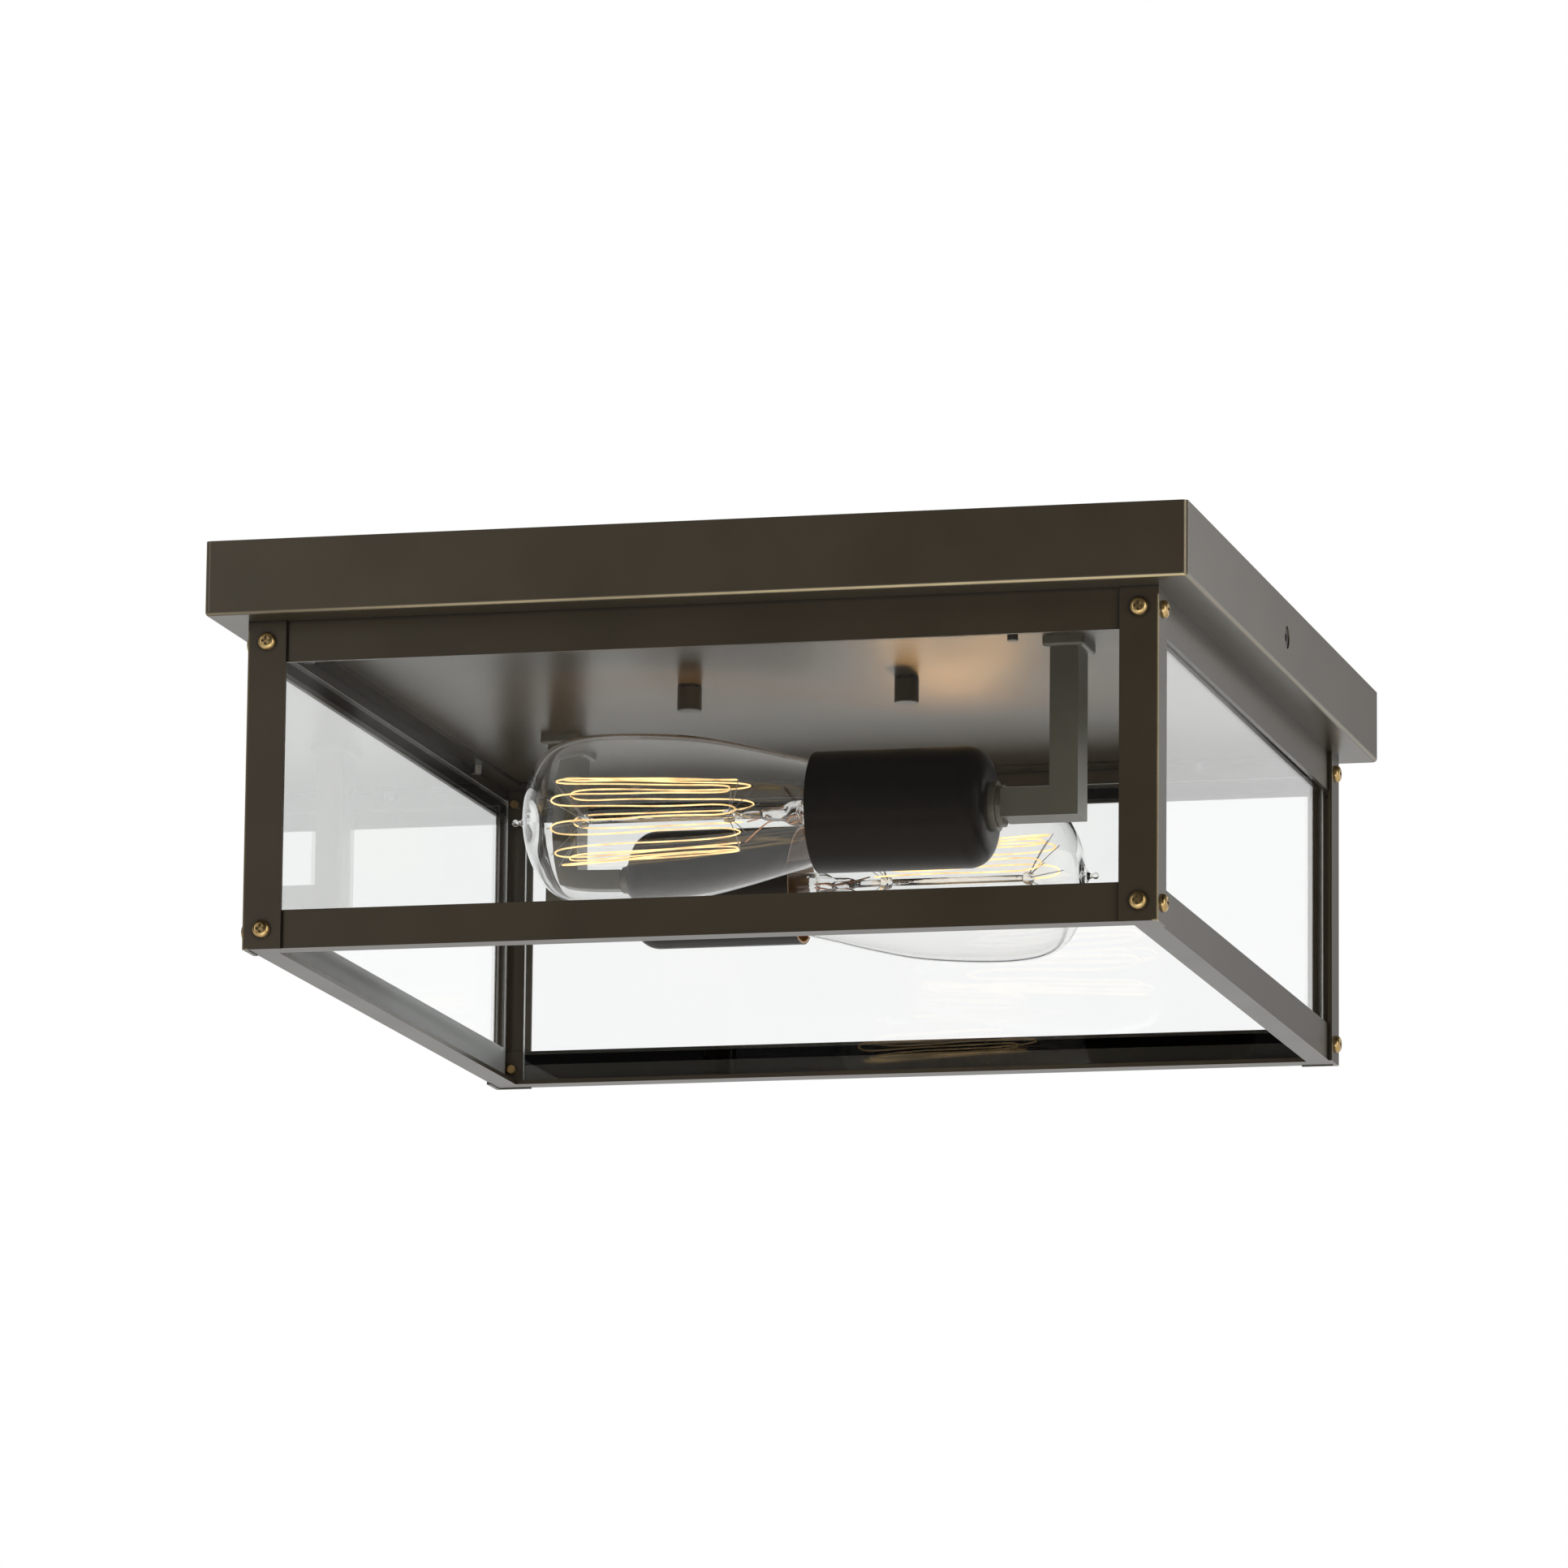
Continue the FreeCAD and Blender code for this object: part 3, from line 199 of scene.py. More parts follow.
def swap_in(tree, shader, where, colour=None):
    """Shows a Transparent shader, of a colour where one is given, wherever a value is 1."""
    values = {"Color": colour} if colour else None
    clear = add_node(tree, "ShaderNodeBsdfTransparent", values).outputs["BSDF"]
    mixed = add_node(tree, "ShaderNodeMixShader", {0: where, 1: shader.outputs["BSDF"], 2: clear})
    tree.links.new(mixed.outputs[0], tree.nodes["Material Output"].inputs["Surface"])


# %% [markdown]
# ## The room
#
# The light hangs in front of plain white. The world shows as pure white to the camera, and also to
# mirrors and glass, but fading to grey overhead and, in reflections, towards the front. That is what
# gives clear glass its visible edges: with white on all sides a bulb would vanish. Satin metal, whose
# reflections are blurred, sees less of the white above eye level. Once a ray has met a matt surface it
# finds an even, dimmer white, so that colours come out about as written.

# %% World
WHITE = (1, 1, 1, 1)
AMBIENT = 0.62
OVERHEAD = 0.16
FRONT = 0.06
LEVEL = 0.22
# The heights or depths between which each fades, where 1 is straight up or straight behind the light
OVERHEAD_FADE = (0.55, 0.90)
FRONT_FADE = (-0.45, 0.20)
LEVEL_FADE = (-0.02, 0.20)
world = bpy.data.worlds.new("studio")
bpy.context.scene.world = world
world.use_nodes = True
sky = world.node_tree
axes = parts_of(sky, add_node(sky, "ShaderNodeTexCoord").outputs["Generated"])
overhead = spread(sky, axes["Z"], *OVERHEAD_FADE, 1.0, OVERHEAD)
in_front = spread(sky, axes["Y"], *FRONT_FADE, FRONT, 1.0)
rays = add_node(sky, "ShaderNodeLightPath").outputs


def in_plain_sight(tree, rays):
    """1 for a ray that the camera, a mirror or glass sends, unless it has met a matt surface."""
    by_glass = maths(tree, "MAXIMUM", rays["Is Glossy Ray"], rays["Is Transmission Ray"])
    shown = maths(tree, "MAXIMUM", rays["Is Camera Ray"], by_glass)
    met_matt = maths(tree, "MINIMUM", rays["Diffuse Depth"], 1.0)
    return times(tree, shown, maths(tree, "SUBTRACT", 1.0, met_matt))


reflected = maths(sky, "MINIMUM", rays["Glossy Depth"], 1.0)
above = maths(sky, "MAXIMUM", rays["Is Singular Ray"], spread(sky, axes["Z"], *LEVEL_FADE, 1.0, LEVEL))
hidden = maths(sky, "SUBTRACT", 1.0, times(sky, in_front, above))
dimmer = maths(sky, "SUBTRACT", 1.0, times(sky, reflected, hidden))
shade = maths(sky, "MAXIMUM", rays["Is Camera Ray"], times(sky, overhead, dimmer))
direct = in_plain_sight(sky, rays)
rest = times(sky, maths(sky, "SUBTRACT", 1.0, direct), AMBIENT)
strength = maths(sky, "ADD", times(sky, direct, shade), rest)
sky.links.new(strength, sky.nodes["Background"].inputs["Strength"])
sky.nodes["Background"].inputs["Color"].default_value = WHITE
print("world: white to the camera,", AMBIENT, "to diffuse rays")

# %% [markdown]
# The floor is a wide pale plane well below the light, as under a porch. It keeps a soft shadow. A
# ceiling light is seen mostly from underneath, so the floor's own underside is clear, and a camera
# below it still sees the light.

# %% Floor
FLOOR_LEVEL = -1.30
FLOOR_HALF = 6.0
FLOOR_CLOUDS = 6.0
FLOOR_SHINE = 0.22
floor_mesh = bpy.data.meshes.new("floor")
corners = [(x * FLOOR_HALF, y * FLOOR_HALF, FLOOR_LEVEL) for x, y in ((-1, -1), (1, -1), (1, 1), (-1, 1))]
floor_mesh.from_pydata(corners, [], [(0, 1, 2, 3)])
floor = bpy.data.objects.new("floor", floor_mesh)
bpy.context.scene.collection.objects.link(floor)

pale_floor, tree, shader = start_finish("pale_floor")
pale = between(tree, clouds(tree, FLOOR_CLOUDS), (0.84, 0.84, 0.83), (0.88, 0.88, 0.87))
feed(tree, shader, "Base Color", pale)
set_even(shader, {"Roughness": 0.9, "Emission Color": WHITE})
seen = in_plain_sight(tree, add_node(tree, "ShaderNodeLightPath").outputs)
feed(tree, shader, "Emission Strength", times(tree, seen, FLOOR_SHINE))
swap_in(tree, shader, add_node(tree, "ShaderNodeNewGeometry").outputs["Backfacing"])
floor_mesh.materials.append(pale_floor)
print("floor at", FLOOR_LEVEL)

# %% [markdown]
# Four softboxes do the shaping. A tall one to the right lightens the faces that look that way and
# draws soft bars on the bulbs, a narrow one behind the light's right shoulder gives those faces their
# fading sheen, a broad one stands at the left behind the camera, and one lies low in front so that the
# frame's underside is not lost. None of them shows to the camera or through glass.

# %% Softboxes
MIDDLE = (0, 0, -0.08)
# Where each stands, what it faces, its width and height, and its watts
SOFTBOXES = {
    "right_softbox": ((1.9, -1.2, 0.1), MIDDLE, 0.9, 1.5, 13),
    "shoulder_softbox": ((0.74, 1.00, 0.22), (0.18, -0.15, -0.03), 0.25, 0.40, 0.8),
    "left_softbox": ((-1.6, -2.2, 0.4), MIDDLE, 1.2, 1.2, 7),
    "low_softbox": ((0.3, -1.9, -1.1), MIDDLE, 1.4, 0.7, 9),
}
for name, (place, aim, width, height, watts) in SOFTBOXES.items():
    lamp = bpy.data.lights.new(name, "AREA")
    lamp.shape = "RECTANGLE"
    lamp.size = width
    lamp.size_y = height
    lamp.energy = watts
    box = bpy.data.objects.new(name, lamp)
    box.location = place
    box.rotation_euler = (Vector(aim) - Vector(place)).to_track_quat("-Z", "Y").to_euler()
    box.visible_camera = False
    box.visible_transmission = False
    bpy.context.scene.collection.objects.link(box)
print(len(SOFTBOXES), "softboxes")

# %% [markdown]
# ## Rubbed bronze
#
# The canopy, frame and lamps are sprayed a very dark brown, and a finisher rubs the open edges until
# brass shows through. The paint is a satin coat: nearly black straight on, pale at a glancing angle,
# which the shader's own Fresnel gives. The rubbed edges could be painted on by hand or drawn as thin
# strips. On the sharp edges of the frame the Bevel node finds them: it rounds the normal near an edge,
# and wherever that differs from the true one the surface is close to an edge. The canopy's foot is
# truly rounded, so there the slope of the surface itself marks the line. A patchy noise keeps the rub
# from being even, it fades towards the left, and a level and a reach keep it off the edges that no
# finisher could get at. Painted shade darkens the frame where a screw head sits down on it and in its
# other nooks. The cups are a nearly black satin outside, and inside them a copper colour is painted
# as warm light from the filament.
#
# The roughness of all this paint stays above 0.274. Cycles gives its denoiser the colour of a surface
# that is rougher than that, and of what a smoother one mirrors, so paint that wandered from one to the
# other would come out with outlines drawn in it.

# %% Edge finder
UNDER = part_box("canopy_pan")[0].z
RUB_WIDTH = 1.2 * MM


def near_edge(tree, radius):
    """About 0 on flat faces and rising to 1 at an edge, within a radius."""
    rounded = add_node(tree, "ShaderNodeBevel", {"Radius": radius}, samples=6).outputs["Normal"]
    agreed = add_node(tree, "ShaderNodeVectorMath", {0: rounded, 1: facing(tree)}, operation="DOT_PRODUCT")
    return maths(tree, "SUBTRACT", 1.0, agreed.outputs["Value"])


def rounded_foot(tree, slope, across):
    """The line round the canopy's foot, and half as strong its upright corners."""
    down = times(tree, slope["Z"], -1.0)
    foot = times(tree, spread(tree, down, 0.30, 0.50), spread(tree, down, 0.80, 0.93, 1.0, 0.0))
    return maths(tree, "MAXIMUM", foot, spread(tree, across, 0.30, 0.48, 0.0, 0.45))


def sharp_edges(tree, height, across):
    """The frame's edges and rounded corners, below the canopy."""
    edge = spread(tree, near_edge(tree, RUB_WIDTH), 0.02, 0.12)
    edge = maths(tree, "MAXIMUM", edge, spread(tree, across, 0.12, 0.35))
    return times(tree, edge, spread(tree, height, UNDER - 3 * MM, UNDER - 4 * MM))


# %% Bronze finishes
BRASS = (0.66, 0.53, 0.29)
BRASS_SHARE = 0.5
# The colour of the painted shade where a screw head sits down on the frame and in its other nooks
NOOK_SHADE = (0.004, 0.003, 0.002)
NOOK_SHADE_FADE = (0.62, 0.92)
# How many clouds to a metre each pattern has, and how deep the sprayed grain is
MOTTLE, PATCHES, GRAIN = 26.0, 14.0, 240.0
GRAIN_DEPTH = 0.003 * MM
# Only what stands this far from the middle is rubbed
REACH = 163.5 * MM
# Along X the rub fades towards the left, and is faint on the canopy's right face
LEFT_FADE, LEFT_SHARE = (-0.16, 0.04), 0.30
RIGHT_FACE, RIGHT_SHARE = (0.1767, 0.1777), 0.18


def bronze(name, dark, light, sheen=0.30, rub=0.0, rounded=False, gloss=1.6, nook=None):
    """Dark satin paint on metal, with brass at its open edges, and painted shade in its nooks where a nook
    reach is given.
    """
    finish, tree, shader = start_finish(name)
    mottle = clouds(tree, MOTTLE, 2.0)
    paint = between(tree, spread(tree, mottle, 0.2, 0.8), dark, light)
    spot = parts_of(tree, places(tree))
    slope = parts_of(tree, facing(tree))
    across = apart(tree, times(tree, slope["X"], slope["Y"]))
    edge = rounded_foot(tree, slope, across) if rounded else sharp_edges(tree, spot["Z"], across)
    further = "MAXIMUM" if rounded else "MINIMUM"
    far = maths(tree, further, apart(tree, spot["X"]), apart(tree, spot["Y"]))
    in_reach = spread(tree, far, REACH - 0.5 * MM, REACH)
    from_left = spread(tree, spot["X"], *LEFT_FADE, LEFT_SHARE, 1.0)
    to_right = spread(tree, spot["X"], *RIGHT_FACE, 1.0, RIGHT_SHARE)
    patches = spread(tree, clouds(tree, PATCHES, 4.0, 0.7), 0.30, 0.60, 0.45, 1.0)
    worn = times(tree, edge, in_reach, from_left, to_right, patches, rub)
    # Painted shade: darker wherever the AO node finds the paint shut in, as round the foot of a screw head
    if nook:
        paint = between(tree, spread(tree, openness(tree, nook, 6), *NOOK_SHADE_FADE), NOOK_SHADE, paint)
    feed(tree, shader, "Base Color", between(tree, worn, paint, BRASS))
    feed(tree, shader, "Metallic", times(tree, worn, BRASS_SHARE))
    feed(tree, shader, "Roughness", spread(tree, mottle, 0.2, 0.8, sheen - 0.02, sheen + 0.02))
    set_even(shader, {"IOR": gloss, "Specular Tint": (1.0, 0.92, 0.79, 1.0)})
    dent(tree, shader, clouds(tree, GRAIN, 1.0), GRAIN_DEPTH)
    return finish


BRONZES = {
    "canopy_bronze": {"dark": (0.0330, 0.0253, 0.0142), "light": (0.0425, 0.0315, 0.0188), "rub": 0.8,
                      "rounded": True, "gloss": 1.75},
    "frame_bronze": {"dark": (0.0280, 0.0206, 0.0118), "light": (0.0358, 0.0263, 0.0155), "rub": 1.0,
                     "nook": 1.6 * MM},
    "arm_bronze": {"dark": (0.066, 0.061, 0.043), "light": (0.084, 0.077, 0.054), "gloss": 1.85},
    "cup_bronze": {"dark": (0.0050, 0.0036, 0.0024), "light": (0.0072, 0.0053, 0.0036), "sheen": 0.31,
                   "gloss": 1.26},
}
FINISHES = {name: bronze(name, **looks) for name, looks in BRONZES.items()}
print("bronze finishes:", ", ".join(FINISHES))

# %% [markdown]
# ## Clear glass
#
# Panes and bulbs are the same thing to the shader: full transmission with glass's own refraction, and
# the clear sealant behind the rails only bends light less. Plain ray tracing cannot light what stands
# behind such glass, because shadows treat it as solid. So a Light Path node swaps in a Transparent
# shader for shadow rays only. A pane's cut edges are ground, so they are rough and look whitish. They
# could take a finish of their own, face by face, but their direction tells them apart just as well.
# The feet of the side panes are dull too, up to the top of the rail that beds them, because smooth
# glass would mirror the white room there.


# %% Glass finishes
def clear_glass(name, tint, ior, shadow_tint, wave, ripples=30.0, ground=None):
    """Clear glass that lets lamps through. wave is the depth of its unevenness in metres."""
    finish, tree, shader = start_finish(name)
    set_even(shader, {"Base Color": (*tint, 1.0), "Transmission Weight": 1.0, "Roughness": 0.0, "IOR": ior})
    dent(tree, shader, clouds(tree, ripples, 2.0), wave)
    if ground:
        ground(tree, shader)
    is_shadow = add_node(tree, "ShaderNodeLightPath").outputs["Is Shadow Ray"]
    swap_in(tree, shader, is_shadow, (*shadow_tint, 1.0))
    return finish


def ground_edges(tree, shader):
    """Grinds a pane's narrow faces, and dulls the foot of a side pane where its rail beds it."""
    spot = parts_of(tree, places(tree))
    way = parts_of(tree, facing(tree))
    far_x, far_y = apart(tree, spot["X"]), apart(tree, spot["Y"])
    at_side = maths(tree, "GREATER_THAN", far_x, far_y)
    faces_x = times(tree, at_side, apart(tree, way["X"]))
    faces_y = times(tree, maths(tree, "GREATER_THAN", far_y, far_x), apart(tree, way["Y"]))
    narrow = spread(tree, maths(tree, "ADD", faces_x, faces_y), 0.7, 0.3)
    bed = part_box("bottom_rail_left")[1].z
    foot = times(tree, at_side, spread(tree, spot["Z"], bed, bed - 0.3 * MM))
    feed(tree, shader, "Roughness", times(tree, maths(tree, "MAXIMUM", narrow, foot), 0.55))


GLASSES = {
    "pane_glass": {"tint": (0.985, 0.995, 0.99), "ior": 1.5, "shadow_tint": (0.95, 0.96, 0.955),
                   "wave": 0.004 * MM, "ground": ground_edges},
    "bulb_glass": {"tint": (0.99, 0.99, 0.985), "ior": 1.47, "shadow_tint": (0.97, 0.97, 0.96),
                   "wave": 0.02 * MM},
    "stem_glass": {"tint": (0.99, 0.99, 0.99), "ior": 1.5, "shadow_tint": (0.97, 0.97, 0.96),
                   "wave": 0.25 * MM, "ripples": 260.0},
    "sealant": {"tint": (0.97, 0.975, 0.965), "ior": 1.41, "shadow_tint": (0.93, 0.94, 0.93),
                "wave": 0.2 * MM, "ripples": 120.0},
}
FINISHES |= {name: clear_glass(name, **looks) for name, looks in GLASSES.items()}
print("glass finishes:", ", ".join(GLASSES))

# %% [markdown]
# ## Small metals and plastics
#
# The fasteners are brass or zinc-plated steel. A brass head is turned, then lacquered, so its dome is
# bright, while painted shade darkens its recess and the rim where it sits down. The Ambient Occlusion
# node tells how shut in a spot is, so it finds both. Zinc is pale and faintly mottled. The plastics are a
# black moulded holder, a black plug, wire insulation and orange wire caps.

# %% Plain metal
# How far the painted shade in screw recesses and rims reaches, and over which openness it fades in
RECESS_SHADE_REACH = 0.9 * MM
RECESS_SHADE_FADE = (0.50, 0.86)
METAL_GRAIN, METAL_GRAIN_DEPTH = 1500.0, 0.006 * MM


def plain_metal(name, dull, bright, roughness, scale=120.0, recess_shade=None):
    """Bare or plated metal with a faint mottle, and painted shade in its nooks where a shade colour is given.
    """
    finish, tree, shader = start_finish(name)
    mottle = clouds(tree, scale)
    colour = between(tree, spread(tree, mottle, 0.35, 0.65), dull, bright)
    set_even(shader, {"Metallic": 1.0})
    # Painted shade: dark and less metallic wherever the AO node finds a recess or the rim of a head
    if recess_shade:
        recess_shade_share = spread(tree, openness(tree, RECESS_SHADE_REACH, 8), *RECESS_SHADE_FADE, 1.0, 0.0)
        colour = between(tree, recess_shade_share, colour, recess_shade)
        feed(tree, shader, "Metallic", maths(tree, "SUBTRACT", 1.0, recess_shade_share))
    feed(tree, shader, "Base Color", colour)
    feed(tree, shader, "Roughness", spread(tree, mottle, 0.3, 0.7, roughness - 0.05, roughness + 0.08))
    dent(tree, shader, clouds(tree, METAL_GRAIN, 2.0), METAL_GRAIN_DEPTH)
    return finish


METALS = {
    "screw_brass": {"dull": (0.42, 0.28, 0.11), "bright": (0.66, 0.47, 0.22), "roughness": 0.30,
                    "scale": 300.0, "recess_shade": (0.085, 0.058, 0.026)},
    "zinc": {"dull": (0.46, 0.47, 0.47), "bright": (0.62, 0.62, 0.60), "roughness": 0.36},
    "green_zinc": {"dull": (0.03, 0.13, 0.055), "bright": (0.05, 0.19, 0.085), "roughness": 0.34},
    "copper": {"dull": (0.62, 0.29, 0.15), "bright": (0.80, 0.42, 0.25), "roughness": 0.28},
    "shell_brass": {"dull": (0.66, 0.45, 0.20), "bright": (0.80, 0.60, 0.32), "roughness": 0.25},
    "hook_steel": {"dull": (0.30, 0.29, 0.28), "bright": (0.45, 0.44, 0.42), "roughness": 0.35,
                   "scale": 400.0},
}
FINISHES |= {name: plain_metal(name, **looks) for name, looks in METALS.items()}
print("metals:", ", ".join(METALS))

# %% Plastic
PLASTIC_MOTTLE = 60.0
PLASTIC_GRAIN, PLASTIC_GRAIN_DEPTH = 1400.0, 0.01 * MM


def plastic(name, dark, light, roughness):
    """Moulded plastic with a fine grain."""
    finish, tree, shader = start_finish(name)
    feed(tree, shader, "Base Color", between(tree, clouds(tree, PLASTIC_MOTTLE), dark, light))
    set_even(shader, {"Roughness": roughness})
    dent(tree, shader, clouds(tree, PLASTIC_GRAIN, 2.0), PLASTIC_GRAIN_DEPTH)
    return finish


# Each plastic's darker and lighter colour, and its roughness
PLASTICS = {
    "black_insulation": ((0.010, 0.010, 0.011), (0.018, 0.018, 0.019), 0.42),
    "white_insulation": ((0.70, 0.69, 0.65), (0.78, 0.77, 0.73), 0.45),
    "cap_orange": ((0.62, 0.20, 0.02), (0.74, 0.27, 0.04), 0.38),
    "holder_black": ((0.010, 0.009, 0.008), (0.019, 0.017, 0.015), 0.35),
    "plug_black": ((0.014, 0.012, 0.010), (0.022, 0.019, 0.016), 0.5),
}
FINISHES |= {name: plastic(name, *looks) for name, looks in PLASTICS.items()}
print("plastics:", ", ".join(PLASTICS))

# %% [markdown]
# Three pieces wear two finishes each. A ground screw's end comes out below the canopy, where it was
# sprayed with it. The end of a bulb's base is black glass round a tin button, in one solid. And each
# cup, whose paint outside is warmer and flatter than the rest, has a copper colour painted inside as
# the warm light of the filament falling there. They could be cut in two, but the place of a spot tells
# which finish it has: its height, or how far it is from the middle line of its lamp.


# %% Two finishes on one piece
def from_lamp_line(tree):
    """How far a point is from the middle line of the lamp that it belongs to."""
    low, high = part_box("bulb_contact_front")
    spot = parts_of(tree, places(tree))
    aside = maths(tree, "SUBTRACT", apart(tree, spot["Y"]), -(low.y + high.y) / 2)
    rise = maths(tree, "SUBTRACT", spot["Z"], (low.z + high.z) / 2)
    return maths(tree, "SQRT", maths(tree, "ADD", times(tree, aside, aside), times(tree, rise, rise)))


def reopen(name):
    """A finish's tree and shader, and the colour that it has so far."""
    tree = FINISHES[name].node_tree
    shader = tree.nodes["Principled BSDF"]
    return tree, shader, shader.inputs["Base Color"].links[0].from_socket


# %% Sprayed screw ends
SPRAYED = (0.030, 0.0245, 0.0155)
tree, shader, green = reopen("green_zinc")
bare = spread(tree, parts_of(tree, places(tree))["Z"], UNDER - 0.1 * MM, UNDER)
feed(tree, shader, "Base Color", between(tree, bare, SPRAYED, green))
feed(tree, shader, "Metallic", bare)

# %% Tin buttons in black glass
BUTTON_RADIUS = 4.4 * MM
STREAKS = 500.0
FINISHES["contact_mix"], tree, shader = start_finish("contact_mix")
button = spread(tree, from_lamp_line(tree), BUTTON_RADIUS, BUTTON_RADIUS + 0.3 * MM, 1.0, 0.0)
streaks = clouds(tree, STREAKS)
black = between(tree, streaks, (0.010, 0.009, 0.012), (0.022, 0.019, 0.024))
tin = between(tree, streaks, (0.42, 0.42, 0.41), (0.60, 0.59, 0.57))
feed(tree, shader, "Base Color", between(tree, button, black, tin))
feed(tree, shader, "Metallic", button)
feed(tree, shader, "Roughness", spread(tree, button, 0.0, 1.0, 0.12, 0.38))

# %% Cups with painted warm light inside
# Painted warm light: a copper colour inside each cup, standing in for the filament's glow falling there
PAINTED_GLOW = (0.40, 0.20, 0.08)
PAINTED_GLOW_SHARE = 0.6
PAINTED_GLOW_RADIUS = 21.3 * MM
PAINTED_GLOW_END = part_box("socket_cup_front")[1].x - 14 * MM
tree, shader, outside_paint = reopen("cup_bronze")
set_even(shader, {"Specular Tint": (1.0, 0.86, 0.70, 1.0)})
painted_glow = spread(tree, from_lamp_line(tree), PAINTED_GLOW_RADIUS, PAINTED_GLOW_RADIUS + 0.2 * MM, 1.0, 0.0)
spot = parts_of(tree, places(tree))
along = times(tree, spot["X"], maths(tree, "SIGN", spot["Y"]), -1.0)
painted_glow = times(tree, painted_glow, spread(tree, along, PAINTED_GLOW_END, PAINTED_GLOW_END + 2 * MM, 1.0, 0.0))
feed(tree, shader, "Base Color", between(tree, painted_glow, outside_paint, PAINTED_GLOW))
feed(tree, shader, "Metallic", times(tree, painted_glow, PAINTED_GLOW_SHARE))
print(len(FINISHES), "finishes")

# %% [markdown]
# ## Glowing wire
#
# The filament is dim enough to look at: a golden wire, brighter where it runs hotter in the middle
# of a stretch. Emission gives that, with a noise that varies its strength along the wire.

# %% Glow
GLOW = 1.55
HEAT_CLOUDS = 90.0
FINISHES["glow"], tree, shader = start_finish("glow")
heat = clouds(tree, HEAT_CLOUDS, 3.0)
feed(tree, shader, "Emission Color", between(tree, heat, (1.0, 0.60, 0.22), (1.0, 0.77, 0.38)))
feed(tree, shader, "Emission Strength", spread(tree, heat, 0.35, 0.65, GLOW * 0.6, GLOW * 1.25))
set_even(shader, {"Base Color": (0.25, 0.13, 0.05, 1.0), "Roughness": 0.5})
print("filament strength:", GLOW)

# %% [markdown]
# The wire also warms what is round it, above all the canopy's underside. It is so thin that stray rays
# hardly ever find it, so a small warm lamp inside each bulb sends the same light without the noise. It
# aims over the other bulb at the canopy, the only place where the daylight leaves the warmth to be seen.
# Light linking makes the canopy its only receiver, or the bulb would mirror a ball that isn't there.

# %% Warm lamps
WARM = (1.0, 0.56, 0.22)
WARM_WATTS = 0.60
WARM_RADIUS = 14 * MM
WARM_ANGLE = math.radians(125)
WARM_SOFTNESS = 0.8
# Which way the rear lamp's goes. The front lamp's goes the other way round
WARM_WAY = Vector((0.20, -0.95, 0.30))
warmed = bpy.data.collections.new("warmed")
warmed.objects.link(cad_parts["canopy_pan"])


def warm_lamp(lamp):
    """A small warm lamp in the middle of a bulb's filament, unseen by the camera itself."""
    low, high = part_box(f"bulb_filament_{lamp}")
    side = 1 if low.y + high.y > 0 else -1
    light = bpy.data.lights.new(f"warm_lamp_{lamp}", "SPOT")
    light.spot_size = WARM_ANGLE
    light.spot_blend = WARM_SOFTNESS
    light.color = WARM
    light.energy = WARM_WATTS
    light.shadow_soft_size = WARM_RADIUS
    spot = bpy.data.objects.new(light.name, light)
    spot.location = (low + high) / 2
    spot.rotation_mode = "QUATERNION"
    way = Vector((WARM_WAY.x * side, WARM_WAY.y * side, WARM_WAY.z))
    spot.rotation_quaternion = way.to_track_quat("-Z", "Y")
    spot.visible_camera = False
    spot.visible_transmission = False
    bpy.context.scene.collection.objects.link(spot)
    spot.light_linking.receiver_collection = warmed


for lamp in LAMPS:
    warm_lamp(lamp)
print("warm lamps:", WARM_WATTS, "W each")

# %% [markdown]
# ## Dressing the solids
#
# Each solid keeps its shape and takes one of the finishes. Its flat shading is swapped for shading
# that is smooth across shallow angles, so turned pieces look round and square edges stay crisp.

# %% Which finish goes where
SHARP_ANGLE = math.radians(28)
SIDES = ("front", "back", "left", "right")
CORNERS = ("front_left", "front_right", "back_left", "back_right")
DRESSED = {
    "canopy_bronze": ["canopy_pan"],
    "frame_bronze": [f"corner_post_{corner}" for corner in CORNERS]
    + [f"{level}_rail_{side}" for level in ("top", "bottom") for side in SIDES]
    + [f"{piece}_{side}" for piece in ("knob", "knob_washer") for side in ("left", "right")],
    "arm_bronze": [f"{piece}_{lamp}" for piece in ("lamp_arm", "arm_collar", "cup_ring") for lamp in LAMPS],
    "cup_bronze": [f"socket_cup_{lamp}" for lamp in LAMPS],
    "pane_glass": [f"glass_pane_{side}" for side in SIDES],
    "screw_brass": ["post_screws"],
    "zinc": ["mounting_crossbar", "crossbar_studs", "stud_nuts", "arm_nipples", "holder_nipples",
             "nipple_nuts", "cage_screws"],
    "green_zinc": ["ground_screws"],
    "copper": ["ground_wire"],
    "black_insulation": ["black_leads"],
    "white_insulation": ["white_leads"],
    "cap_orange": ["wire_connectors"],
    "plug_black": ["side_plug"],
    "sealant": ["glazing_seals"],
    "holder_black": [f"lampholder_{lamp}" for lamp in LAMPS],
    "shell_brass": [f"{piece}_{lamp}" for piece in ("screw_shell", "centre_contact") for lamp in LAMPS],
    "contact_mix": [f"bulb_contact_{lamp}" for lamp in LAMPS],
}


def dress(node, finish):
    """Gives a solid its finish and smooth shading."""
    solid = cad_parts[node]
    for holder in solid.material_slots:
        holder.material = finish
    if not solid.material_slots:
        solid.data.materials.append(finish)
    solid.data.shade_smooth()
    solid.data.set_sharp_from_angle(angle=SHARP_ANGLE)


for finish_name, nodes in DRESSED.items():
    for node in nodes:
        dress(node, FINISHES[finish_name])
print(sum(len(nodes) for nodes in DRESSED.values()), "solids dressed")

# %% [markdown]
# ## Where each lamp lies
#
# The two lamps are alike and lie head to tail. So every piece below is drawn once, in a frame that
# starts at the middle of a cup's mouth, with X along the lamp and into the cup. The frame's place is
# read from the cup's own solid, so the pieces stay right if the cups ever move.


